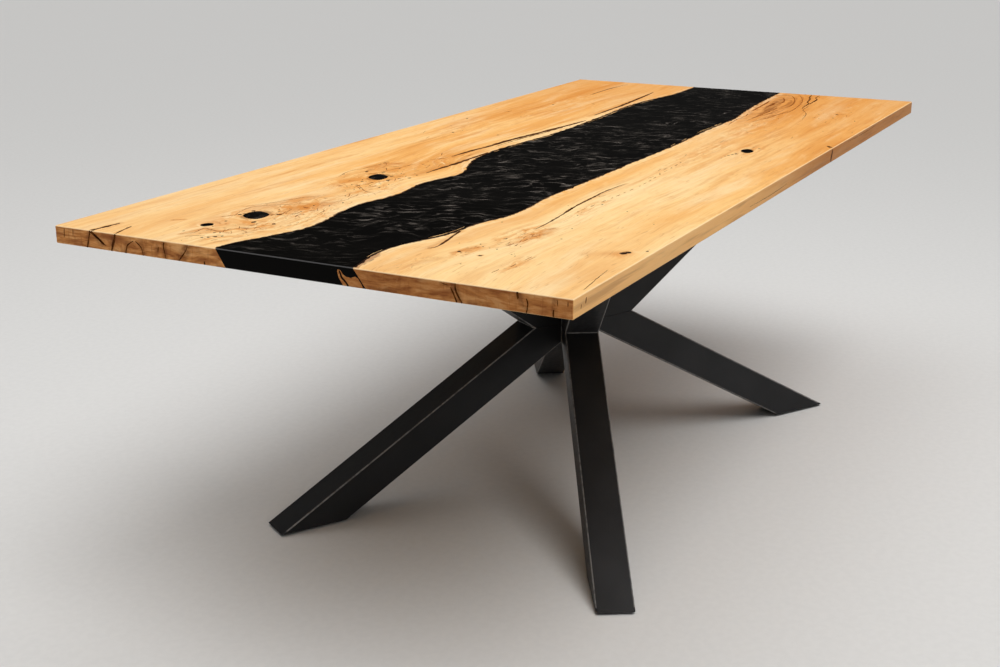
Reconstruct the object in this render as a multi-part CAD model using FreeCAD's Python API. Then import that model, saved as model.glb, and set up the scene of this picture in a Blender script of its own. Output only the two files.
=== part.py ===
import FreeCAD, Part
import math
import os
from FreeCAD import Vector

# A dining table: a river top of two live-edge slabs with black resin between them,
# on a welded steel base whose four legs and four arms meet at a narrow waist.
# Millimetres and degrees. The origin is on the floor under the middle of the top,
# X runs along the length, Y across the width and Z up. Front is -Y, left is -X.

# Top
top_length = 2200.0
top_width = 1000.0
top_height = 750.0
top_thickness = 32.0
edge_ease = 2.5

# River: how far each live edge leans between the top face and the underside
rear_edge_lean = 20.0
front_edge_lean = 24.0

# Curl of wood standing in the resin at the left end
curl_width = 52.0
curl_depth = 50.0
curl_offset = 92.0

# Knots
big_knot_length = 64.0
big_knot_width = 45.0
small_knot_length = 27.0
small_knot_width = 22.0
side_knot_length = 62.0
side_knot_width = 38.0
slot_knot_length = 52.0
slot_knot_width = 27.0
knot_fill_depth = 14.0

# Base tube and its pose
tube_size = 76.0
tube_wall = 3.0
tube_corner = 4.0
leg_plan_angle = 31.0
leg_slope = 29.4
arm_slope = 36.0
waist_height = 362.0
hub_overlap = 4.0

# Mounting plates under the top
plate_margin = 38.0
plate_thickness = 6.0
plate_corner = 10.0
slot_length = 18.0

# Bolts, washers and threaded inserts
bolt_diameter = 8.0
bolt_clearance = 0.5
bolt_head_width = 13.0
bolt_head_height = 5.3
bolt_engagement = 13.0
washer_diameter = 20.0
washer_thickness = 1.6
insert_diameter = 12.0
insert_length = 16.0
insert_hole_spare = 3.0
thread_clearance = 0.1

# Stiffening channels let into the underside
channel_setback = 100.0
channel_width = 40.0
channel_height = 14.0
channel_wall = 4.0
channel_clearance = 0.25
channel_bolt_end = 40.0
channel_bolt_pitch = 125.0

# Foot plates and levelling feet
foot_plate_thickness = 5.0
pad_diameter = 46.0
pad_height = 6.0
pad_ease = 1.5
stud_diameter = 10.0
stud_flange_diameter = 24.0
stud_flange_thickness = 2.5
stud_length = 28.0
stud_clearance = 0.08
nut_width = 17.0
nut_height = 8.0
plate_hole_clearance = 0.5

# Length that cutting shapes run past what they cut
cut_overrun = 10.0

# Live edges from the left end to the right: share of the length, share of the width,
# share of the lean, where a lean above zero makes the slab wider at its underside.
rear_edge_shares = [
    (-0.500, 0.148, 1.0), (-0.418, 0.098, 1.1), (-0.365, 0.110, 0.8), (-0.320, 0.120, 0.7),
    (-0.275, 0.104, 0.9), (-0.216, 0.115, 0.6), (-0.167, 0.097, 0.8), (-0.129, 0.124, 1.0),
    (-0.065, 0.158, 1.2), (0.008, 0.152, 0.9), (0.085, 0.141, 0.7), (0.135, 0.141, 0.8),
    (0.223, 0.148, 1.0), (0.292, 0.156, 1.0), (0.375, 0.143, 0.8), (0.435, 0.126, 0.7), (0.500, 0.130, 0.9),
]
front_edge_shares = [
    (-0.500, -0.121, -1.0), (-0.481, -0.113, -0.8), (-0.453, -0.104, -0.2), (-0.415, -0.119, 0.3),
    (-0.368, -0.145, 0.6), (-0.341, -0.147, 0.7), (-0.312, -0.164, 0.8), (-0.269, -0.169, 0.7),
    (-0.237, -0.163, 0.5), (-0.173, -0.162, 0.6), (-0.115, -0.166, 0.8), (-0.051, -0.166, 0.9),
    (0.026, -0.171, 0.8), (0.126, -0.167, 0.6), (0.200, -0.164, 0.5), (0.248, -0.166, 0.7),
    (0.336, -0.147, 0.9), (0.426, -0.133, 0.8), (0.500, -0.127, 0.6),
]

# Place of an outer channel between the mounting plates' corners and the end of the top
channel_place_share = 0.32

# Outline of the curl on the left end face: share of its width across, share of the thickness up
curl_outline_shares = [
    (0.02, 0.82), (0.00, 0.70), (0.05, 0.40), (0.16, 0.12), (0.30, -0.20),
    (0.98, -0.20), (0.86, 0.22), (0.74, 0.50), (0.64, 0.57),
    (0.49, 0.47), (0.31, 0.50), (0.20, 0.60), (0.12, 0.78),
]
curl_inner_end_share = 0.45

# Knots: shares of the length and width for the middle, turn in degrees, then sizes
knot_round_shares = [1.00, 0.94, 1.04, 0.97, 1.02, 0.93, 1.05, 0.96]
rear_knots = [
    ((-0.396, 0.237), 35.0, big_knot_length, big_knot_width),
    ((-0.442, 0.267), 10.0, small_knot_length, small_knot_width),
    ((-0.215, 0.230), 32.0, side_knot_length, side_knot_width),
]
front_knots = [
    ((0.073, -0.341), 20.0, slot_knot_length, slot_knot_width),
]

# Corners of the table: name, side along X, side along Y
corners = [
    ("left_front", -1, -1),
    ("right_front", 1, -1),
    ("left_rear", -1, 1),
    ("right_rear", 1, 1),
]

# Levels and slopes worked out from the sizes
underside = top_height - top_thickness
arm_top = underside - plate_thickness
foot_plate_top = pad_height + foot_plate_thickness
slope_leg = math.radians(leg_slope)
slope_arm = math.radians(arm_slope)
plan_angle = math.radians(leg_plan_angle)
half_fold = (slope_leg + slope_arm) / 2
mitre_tilt = (slope_arm - slope_leg) / 2
mitre_length = tube_size / math.sin(half_fold)
waist_radius = mitre_length * math.cos(mitre_tilt) - hub_overlap
leg_reach = (waist_height - pad_height) / math.tan(slope_leg)
arm_reach = (arm_top - waist_height) / math.tan(slope_arm)
foot_outer_radius = waist_radius + leg_reach
arm_outer_radius = waist_radius + arm_reach
foot_middle_radius = foot_outer_radius - tube_size / math.sin(slope_leg) / 2
arm_end_length = tube_size / math.sin(slope_arm)
plate_middle_radius = arm_outer_radius - arm_end_length / 2
plate_length = arm_end_length + 2 * plate_margin
plate_width = tube_size + 2 * plate_margin
plate_reach = plate_middle_radius + plate_length / 2
plate_outer_x = plate_reach * math.cos(plan_angle) + plate_width / 2 * math.sin(plan_angle)
channel_length = top_width - 2 * channel_setback
channel_spacing = plate_outer_x + channel_place_share * (top_length / 2 - plate_outer_x)
bolt_radius = bolt_diameter / 2
bolt_hole_radius = bolt_radius + bolt_clearance
insert_bore_radius = bolt_radius + thread_clearance
insert_radius = insert_diameter / 2
stud_radius = stud_diameter / 2


def export(name, shape):
    shape.exportStep("parts/" + name + ".step")


def group(solids):
    return Part.makeCompound(solids)


def box_between(low, high):
    size = high.sub(low)
    return Part.makeBox(size.x, size.y, size.z, low)


def upright_cylinder(radius, height, place):
    return Part.makeCylinder(radius, height, place, Vector(0, 0, 1))


def hexagon(width, height, place):
    radius = width / math.sqrt(3)
    points = []
    for step in range(7):
        turn = step * math.pi / 3
        points.append(place.add(Vector(radius * math.cos(turn), radius * math.sin(turn), 0)))
    face = Part.Face(Part.makePolygon(points))
    return face.extrude(Vector(0, 0, height))


# One smooth curve through the points, as an edge for each span
def spline_edges(points):
    curve = Part.BSplineCurve()
    curve.interpolate(points)
    knots = curve.getKnots()
    return [curve.toShape(low, high) for low, high in zip(knots, knots[1:])]


def closed_spline_wire(points):
    curve = Part.BSplineCurve()
    curve.interpolate(Points=points, PeriodicFlag=True)
    return Part.Wire([curve.toShape()])


def turned(shape, degrees):
    copy = shape.copy()
    copy.rotate(Vector(0, 0, 0), Vector(0, 0, 1), degrees)
    return copy


def corner_turn(side_x, side_y):
    return math.degrees(math.atan2(side_y * math.sin(plan_angle), side_x * math.cos(plan_angle)))


# Board that the slabs and the river are parted from, with eased edges
def make_board():
    low = Vector(-top_length / 2, -top_width / 2, underside)
    high = Vector(top_length / 2, top_width / 2, top_height)
    board = box_between(low, high)
    return board.makeFillet(edge_ease, board.Edges)


def live_edge_points(shares, lean, inward, level):
    drop_share = (top_height - level) / top_thickness
    points = []
    for along, across, lean_share in shares:
        y = across * top_width + inward * lean * lean_share * drop_share
        points.append(Vector(along * top_length, y, level))
    first = points[0].sub(Vector(cut_overrun, 0, 0))
    last = points[-1].add(Vector(cut_overrun, 0, 0))
    return [first] + points + [last]


def river_wire(level):
    rear = live_edge_points(rear_edge_shares, rear_edge_lean, -1, level)
    front = live_edge_points(front_edge_shares, front_edge_lean, 1, level)
    right = Part.makeLine(rear[-1], front[-1])
    left = Part.makeLine(front[0], rear[0])
    return Part.Wire(spline_edges(rear) + [right] + spline_edges(list(reversed(front))) + [left])


def make_river_form():
    above = river_wire(top_height + cut_overrun)
    below = river_wire(underside - cut_overrun)
    return Part.makeLoft([above, below], True, True)


# Curl of live edge: a horn on the end face that shrinks as it runs into the resin
def curl_wire(x, size_share):
    root_across, root_up = curl_outline_shares[4]
    points = []
    for across, up in curl_outline_shares:
        across_here = root_across + (across - root_across) * size_share
        up_here = root_up + (up - root_up) * size_share
        y = -curl_offset - across_here * curl_width
        points.append(Vector(x, y, underside + up_here * top_thickness))
    points.append(points[0])
    return Part.makePolygon(points)


def make_curl(board, river_form):
    end = -top_length / 2
    outer = curl_wire(end - cut_overrun, 1)
    face = curl_wire(end, 1)
    inner = curl_wire(end + curl_depth, curl_inner_end_share)
    form = Part.makeLoft([outer, face, inner], True, True)
    return form.common(river_form).common(board)


# Resin plug of a knot, from the top face down
def knot_form(place, turn, length, width, height):
    points = []
    count = len(knot_round_shares)
    for step, share in enumerate(knot_round_shares):
        angle = 2 * math.pi * step / count
        along = share * length / 2 * math.cos(angle)
        across = share * width / 2 * math.sin(angle)
        points.append(Vector(along, across, 0))
    form = Part.Face(closed_spline_wire(points)).extrude(Vector(0, 0, height))
    form = turned(form, turn)
    form.translate(Vector(place[0] * top_length, place[1] * top_width, top_height - knot_fill_depth))
    return form


def knot_plugs(knots):
    return [knot_form(place, turn, length, width, knot_fill_depth) for place, turn, length, width in knots]


def knot_pockets(knots):
    height = knot_fill_depth + cut_overrun
    return [knot_form(place, turn, length, width, height) for place, turn, length, width in knots]


# Stiffening channel: web flush with the underside, flanges up into two slots
def channel_form(x, clearance):
    half = channel_width / 2 + clearance
    inner = channel_width / 2 - channel_wall - clearance
    reach = channel_length / 2 + clearance
    web = box_between(
        Vector(x - half, -reach, underside),
        Vector(x + half, reach, underside + channel_wall),
    )
    flanges = []
    for low, high in ((-half, -inner), (inner, half)):
        flanges.append(box_between(
            Vector(x + low, -reach, underside),
            Vector(x + high, reach, underside + channel_height + clearance),
        ))
    return web.fuse(flanges).removeSplitter()


channel_places = [
    ("left", -channel_spacing),
    ("middle", 0),
    ("right", channel_spacing),
]


def channel_bolt_places(x):
    outer = channel_length / 2 - channel_bolt_end
    inner = outer - channel_bolt_pitch
    return [Vector(x, y, underside) for y in (-outer, -inner, inner, outer)]


def make_channel(x):
    channel = channel_form(x, 0)
    for place in channel_bolt_places(x):
        hole = upright_cylinder(bolt_hole_radius, channel_height, place)
        channel = channel.cut(hole)
    return channel


# Mounting plates: bolt places are the corners of a rectangle turned with the arm
def plate_bolt_places(side_x, side_y):
    along = (arm_end_length + plate_margin) / 2
    across = (tube_size + plate_margin) / 2
    turn = math.radians(corner_turn(side_x, side_y))
    places = []
    for a, b in ((-along, -across), (-along, across), (along, -across), (along, across)):
        r = plate_middle_radius + a
        x = r * math.cos(turn) - b * math.sin(turn)
        y = r * math.sin(turn) + b * math.cos(turn)
        places.append(Vector(x, y, underside))
    return places


# Slot across the grain, so that the wood can swell and shrink
def slot_form(place):
    straight = slot_length / 2 - bolt_hole_radius
    low = Vector(place.x - bolt_hole_radius, place.y - straight, arm_top)
    high = Vector(place.x + bolt_hole_radius, place.y + straight, underside)
    ends = []
    for y in (-straight, straight):
        middle = Vector(place.x, place.y + y, arm_top)
        ends.append(upright_cylinder(bolt_hole_radius, plate_thickness, middle))
    return box_between(low, high).fuse(ends).removeSplitter()


def make_plate(side_x, side_y):
    low = Vector(plate_middle_radius - plate_length / 2, -plate_width / 2, arm_top)
    high = Vector(plate_middle_radius + plate_length / 2, plate_width / 2, underside)
    plate = box_between(low, high)
    upright = [edge for edge in plate.Edges if edge.BoundBox.XLength + edge.BoundBox.YLength < edge.Length]
    plate = turned(plate.makeFillet(plate_corner, upright), corner_turn(side_x, side_y))
    return plate.cut([slot_form(place) for place in plate_bolt_places(side_x, side_y)])


# Fasteners stand on their axis with the head's upper face at the given place
def bolt_form(place, length):
    head = hexagon(bolt_head_width, bolt_head_height, place.sub(Vector(0, 0, bolt_head_height)))
    return head.fuse(upright_cylinder(bolt_radius, length, place)).removeSplitter()


def washer_form(place):
    washer = upright_cylinder(washer_diameter / 2, washer_thickness, place)
    return washer.cut(upright_cylinder(bolt_hole_radius, washer_thickness, place))


def insert_form(place):
    insert = upright_cylinder(insert_radius, insert_length, place)
    return insert.cut(upright_cylinder(insert_bore_radius, insert_length, place))


def insert_hole(place):
    return upright_cylinder(insert_radius, insert_length + insert_hole_spare, place)


# Square tube, in the leg's own upright plane: X is the radius from the table's axis
def tube_section(size, corner):
    side = size - 2 * corner
    core = Part.makePlane(side, side, Vector(-side / 2, -side / 2, 0))
    return core.makeOffset2D(corner)


def waist_tube(slope_down, below_line, length, size, corner):
    run = tube_section(size, corner).extrude(Vector(0, 0, length))
    run.rotate(Vector(0, 0, 0), Vector(0, 1, 0), 90 + math.degrees(slope_down))
    direction = Vector(math.cos(slope_down), 0, -math.sin(slope_down))
    side = Vector(-math.sin(slope_down), 0, -math.cos(slope_down)) * below_line
    start = Vector(waist_radius, 0, waist_height).sub(direction * (2 * mitre_length))
    run.translate(start.add(side * (tube_size / 2)))
    return run


# Space on one side of the mitre plane at the waist, up or down to a level
def mitre_space(level):
    reach = foot_outer_radius + arm_outer_radius
    tilt = Vector(math.cos(mitre_tilt), 0, math.sin(mitre_tilt)) * reach
    corner = Vector(waist_radius, 0, waist_height)
    out = corner.add(tilt)
    back = corner.sub(tilt)
    side = Vector(0, -tube_size, 0)
    points = [back, out, Vector(out.x, 0, level), Vector(back.x, 0, level), back]
    face = Part.Face(Part.makePolygon([point.add(side) for point in points]))
    return face.extrude(Vector(0, 2 * tube_size, 0))


def quadrant(side_x, side_y):
    reach = foot_outer_radius + arm_outer_radius
    low = Vector(min(0, side_x * reach), min(0, side_y * reach), 0)
    high = Vector(max(0, side_x * reach), max(0, side_y * reach), top_height)
    return box_between(low, high)


leg_run_length = leg_reach / math.cos(slope_leg) + 4 * mitre_length
arm_run_length = arm_reach / math.cos(slope_arm) + 4 * mitre_length
bore_size = tube_size - 2 * tube_wall
bore_corner = max(tube_corner - tube_wall, tube_corner / 4)
leg_solid = waist_tube(slope_leg, 1, leg_run_length, tube_size, tube_corner)
leg_bore = waist_tube(slope_leg, 1, leg_run_length, bore_size, bore_corner)
arm_solid = waist_tube(-slope_arm, -1, arm_run_length, tube_size, tube_corner)
arm_bore = waist_tube(-slope_arm, -1, arm_run_length, bore_size, bore_corner)


def make_leg(side_x, side_y):
    leg = leg_solid.cut(leg_bore).common(mitre_space(foot_plate_top))
    return turned(leg, corner_turn(side_x, side_y)).common(quadrant(side_x, side_y))


def make_arm(side_x, side_y):
    arm = arm_solid.cut(arm_bore).common(mitre_space(arm_top))
    return turned(arm, corner_turn(side_x, side_y)).common(quadrant(side_x, side_y))


# Foot plate: a slice of the leg's outline that closes it, with a hole for the stud
def make_foot_plate(side_x, side_y):
    low = Vector(0, -tube_size, pad_height)
    high = Vector(2 * foot_outer_radius, tube_size, foot_plate_top)
    plate = leg_solid.common(box_between(low, high))
    hole_radius = stud_radius + plate_hole_clearance
    place = Vector(foot_middle_radius, 0, pad_height)
    plate = plate.cut(upright_cylinder(hole_radius, foot_plate_thickness, place))
    return turned(plate, corner_turn(side_x, side_y))


def foot_place(side_x, side_y, level):
    turn = math.radians(corner_turn(side_x, side_y))
    return Vector(foot_middle_radius * math.cos(turn), foot_middle_radius * math.sin(turn), level)


def make_nut(side_x, side_y):
    place = foot_place(side_x, side_y, foot_plate_top)
    return hexagon(nut_width, nut_height, place).cut(upright_cylinder(stud_radius, nut_height, place))


# Levelling foot: a stud with a round flange, held in a glide pad
def make_stud(side_x, side_y):
    base = foot_place(side_x, side_y, pad_height - stud_flange_thickness)
    flange = upright_cylinder(stud_flange_diameter / 2, stud_flange_thickness, base)
    shank = upright_cylinder(stud_radius - stud_clearance, stud_length, base)
    return flange.fuse(shank).removeSplitter()


def make_pad(side_x, side_y):
    place = foot_place(side_x, side_y, 0)
    pad = upright_cylinder(pad_diameter / 2, pad_height, place)
    rims = [edge for edge in pad.Edges if edge.Length > pad_diameter]
    pad = pad.makeFillet(pad_ease, [min(rims, key=lambda rim: rim.CenterOfMass.z)])
    seat = foot_place(side_x, side_y, pad_height - stud_flange_thickness)
    seat_radius = stud_flange_diameter / 2 + stud_clearance
    return pad.cut(upright_cylinder(seat_radius, stud_flange_thickness, seat))


def build():
    os.makedirs("parts", exist_ok=True)
    board = make_board()
    river_form = make_river_form()
    curl = make_curl(board, river_form)
    river = board.common(river_form).cut(curl)
    slabs = sorted(board.cut(river_form).Solids, key=lambda solid: solid.CenterOfMass.y)
    front_slab = slabs[0].cut(knot_pockets(front_knots))
    rear_slab = slabs[-1].cut(knot_pockets(rear_knots))

    plate_places = []
    for name, side_x, side_y in corners:
        plate_places += plate_bolt_places(side_x, side_y)
    web_places = []
    for name, x in channel_places:
        web_places += channel_bolt_places(x)
    web_top = Vector(0, 0, channel_wall)
    above_web_places = [place.add(web_top) for place in web_places]

    recesses = [insert_hole(place) for place in plate_places + above_web_places]
    recesses += [channel_form(x, channel_clearance) for name, x in channel_places]
    export("front_slab", front_slab.cut(recesses))
    export("rear_slab", rear_slab.cut(recesses))
    export("epoxy_river", river.cut(recesses))
    export("edge_curl", curl)
    export("front_knot_fills", group(knot_plugs(front_knots)))
    export("rear_knot_fills", group(knot_plugs(rear_knots)))

    for name, x in channel_places:
        export("stiffener_channel_" + name, make_channel(x))
    channel_bolt_length = channel_wall + bolt_engagement
    export("channel_bolts", group([bolt_form(place, channel_bolt_length) for place in web_places]))
    export("channel_inserts", group([insert_form(place) for place in above_web_places]))

    washer_drop = Vector(0, 0, plate_thickness + washer_thickness)
    washer_places = [place.sub(washer_drop) for place in plate_places]
    plate_bolt_length = washer_drop.z + bolt_engagement
    export("plate_washers", group([washer_form(place) for place in washer_places]))
    export("plate_bolts", group([bolt_form(place, plate_bolt_length) for place in washer_places]))
    export("plate_inserts", group([insert_form(place) for place in plate_places]))

    nuts = []
    for name, side_x, side_y in corners:
        export("lower_leg_" + name, make_leg(side_x, side_y))
        export("upper_arm_" + name, make_arm(side_x, side_y))
        export("mounting_plate_" + name, make_plate(side_x, side_y))
        export("foot_plate_" + name, make_foot_plate(side_x, side_y))
        export("leveller_stud_" + name, make_stud(side_x, side_y))
        export("leveller_pad_" + name, make_pad(side_x, side_y))
        nuts.append(make_nut(side_x, side_y))
    export("foot_nuts", group(nuts))


build()
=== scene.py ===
import math
import random
from types import SimpleNamespace

import bmesh
import bpy
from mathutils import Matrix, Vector
from mathutils import noise as field


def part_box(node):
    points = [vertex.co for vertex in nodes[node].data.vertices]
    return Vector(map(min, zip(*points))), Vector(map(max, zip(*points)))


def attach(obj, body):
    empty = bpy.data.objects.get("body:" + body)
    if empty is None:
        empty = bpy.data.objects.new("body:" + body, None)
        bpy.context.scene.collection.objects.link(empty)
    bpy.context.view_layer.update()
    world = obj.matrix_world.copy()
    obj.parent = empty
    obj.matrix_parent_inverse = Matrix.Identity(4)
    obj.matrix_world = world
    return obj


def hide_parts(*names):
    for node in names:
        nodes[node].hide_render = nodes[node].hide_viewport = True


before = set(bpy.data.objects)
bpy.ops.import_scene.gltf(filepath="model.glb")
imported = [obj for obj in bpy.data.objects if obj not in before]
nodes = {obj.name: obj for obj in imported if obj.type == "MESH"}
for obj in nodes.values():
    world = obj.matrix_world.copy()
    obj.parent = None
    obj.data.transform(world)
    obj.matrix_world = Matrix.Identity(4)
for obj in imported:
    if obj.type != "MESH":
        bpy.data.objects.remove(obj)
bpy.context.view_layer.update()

# Sizes of the solids that the pieces below are set against, in metres
TOP = 0.75
THICKNESS = 0.032
UNDERSIDE = TOP - THICKNESS
HALF_LENGTH = 1.1
HALF_WIDTH = 0.5
TUBE = 0.076
HALF_TUBE = TUBE / 2
TUBE_ROUND = 0.0035
TUBE_FLAT = HALF_TUBE - TUBE_ROUND
PLATE_THICKNESS = 0.006
PLAN_ANGLE = math.radians(31.0)
LEG_SLOPE = math.radians(29.4)
ARM_SLOPE = math.radians(36.0)
WAIST_RADIUS = 0.1365
WAIST_HEIGHT = 0.362
ARM_TOP = UNDERSIDE - PLATE_THICKNESS
CORNERS = {"left_front": (-1, -1), "right_front": (1, -1), "left_rear": (-1, 1), "right_rear": (1, 1)}

# Height of a filled crack above the surface that it is in, and its depth below it
PROUD = 0.00012
SUNK = 0.0006


# Colours are written as they look on a screen, and turned into light here
def tone(red, green, blue):
    light = []
    for value in (red, green, blue):
        share = value / 255.0
        light.append(share / 12.92 if share <= 0.04045 else ((share + 0.055) / 1.055) ** 2.4)
    return (light[0], light[1], light[2], 1.0)


# A small writer of shader graphs: a value is a socket of another node, or a constant.
# A material lays down its colour first and then tints it.
class Net:
    def __init__(self, name):
        self.material = bpy.data.materials.new(name)
        self.material.use_nodes = True
        self.tree = self.material.node_tree
        self.tree.nodes.clear()
        self.output = self.tree.nodes.new("ShaderNodeOutputMaterial")
        coordinates = self.node("ShaderNodeTexCoord")
        self.spot = coordinates.outputs["Object"]
        self.normal = coordinates.outputs["Normal"]
        self.colour = None

    def put(self, socket, value):
        if isinstance(value, bpy.types.NodeSocket):
            self.tree.links.new(value, socket)
        else:
            socket.default_value = value

    def node(self, kind, inputs=None, **settings):
        made = self.tree.nodes.new(kind)
        for key, value in settings.items():
            setattr(made, key, value)
        for key, value in (inputs or {}).items():
            self.put(made.inputs[key], value)
        return made

    def math(self, operation, a, b=0.0, c=0.0, clamp=False):
        inputs = {0: a, 1: b, 2: c}
        return self.node("ShaderNodeMath", inputs, operation=operation, use_clamp=clamp).outputs[0]

    def add(self, a, b, clamp=False):
        return self.math("ADD", a, b, clamp=clamp)

    def sub(self, a, b):
        return self.math("SUBTRACT", a, b)

    def mul(self, a, b, clamp=False):
        return self.math("MULTIPLY", a, b, clamp=clamp)

    def largest(self, values):
        most = values[0]
        for value in values[1:]:
            most = self.math("MAXIMUM", most, value)
        return most

    def vector(self, operation, a, b=None, scale=None):
        inputs = {0: a}
        if b is not None:
            inputs[1] = b
        if scale is not None:
            inputs["Scale"] = scale
        made = self.node("ShaderNodeVectorMath", inputs, operation=operation)
        return made.outputs["Value" if operation in ("LENGTH", "DOT_PRODUCT", "DISTANCE") else "Vector"]

    def join(self, x, y, z):
        return self.node("ShaderNodeCombineXYZ", {0: x, 1: y, 2: z}).outputs[0]

    def split(self, vector):
        return self.node("ShaderNodeSeparateXYZ", {0: vector}).outputs

    # Runs smoothly from start to end while the value goes from low to high
    def ease(self, value, low, high, start=0.0, end=1.0):
        inputs = {"Value": value, "From Min": low, "From Max": high, "To Min": start, "To Max": end}
        return self.node("ShaderNodeMapRange", inputs, interpolation_type="SMOOTHSTEP").outputs[0]

    def noise(self, vector, scale=1.0, detail=2.0, rough=0.5, twist=0.0):
        inputs = {"Vector": vector, "Scale": scale, "Detail": detail, "Roughness": rough, "Distortion": twist}
        return self.node("ShaderNodeTexNoise", inputs).outputs[0]

    # Noise with a scale of its own along each axis
    def drawn_noise(self, scales, detail=3.0, rough=0.5):
        return self.noise(self.vector("MULTIPLY", self.spot, scales), detail=detail, rough=rough)

    # Noise turned into a push to either side
    def swing(self, noise, reach):
        return self.mul(self.sub(noise, 0.5), reach)

    def ramp(self, value, stops):
        made = self.node("ShaderNodeValToRGB", {"Fac": value})
        elements = made.color_ramp.elements
        while len(elements) < len(stops):
            elements.new(1.0)
        for element, (place, colour) in zip(elements, stops):
            element.position = place
            element.color = colour
        return made.outputs[0]

    def mix(self, share, a, b):
        return self.node("ShaderNodeMix", {0: share, 6: a, 7: b}, data_type="RGBA").outputs[2]

    def tint(self, share, colour):
        self.colour = self.mix(share, self.colour, colour)

    def curve(self, value, points):
        made = self.node("ShaderNodeFloatCurve", {"Factor": 1.0, "Value": value})
        line = made.mapping.curves[0]
        for place, height in points[1:-1]:
            line.points.new(place, height)
        line.points[0].location = points[0]
        line.points[-1].location = points[-1]
        made.mapping.update()
        return made.outputs[0]

    # Share of an upper edge's round, where the face turns from upright to level
    def upper_round(self, low, high):
        rise = self.split(self.normal)[2]
        return self.mul(self.ease(rise, low, high), self.ease(rise, 0.88, 0.985, 1.0, 0.0))

    def bump(self, height, strength, distance):
        inputs = {"Height": height, "Strength": strength, "Distance": distance}
        return self.node("ShaderNodeBump", inputs).outputs[0]

    def finish(self, rough, normal=None, **constants):
        shader = self.node("ShaderNodeBsdfPrincipled", {"Base Color": self.colour, "Roughness": rough})
        if normal is not None:
            self.put(shader.inputs["Normal"], normal)
        for key, value in constants.items():
            shader.inputs[key.replace("_", " ")].default_value = value
        self.tree.links.new(shader.outputs[0], self.output.inputs["Surface"])
        return self.material


# The two live edges on the top face, read from the river's own solid
ON_TOP_FACE = TOP - 0.0002
OFF_MIDDLE = 0.02


def live_edge(side):
    line = set()
    for vertex in nodes["epoxy_river"].data.vertices:
        if vertex.co.z > ON_TOP_FACE and vertex.co.y * side > OFF_MIDDLE:
            line.add((round(vertex.co.x, 5), round(vertex.co.y, 5)))
    return sorted(line)


def along_edge(line, x):
    for (x0, y0), (x1, y1) in zip(line, line[1:]):
        if x0 <= x <= x1:
            return y0 + (y1 - y0) * (x - x0) / max(x1 - x0, 1e-6)
    return line[0][1] if x < line[0][0] else line[-1][1]


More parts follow.
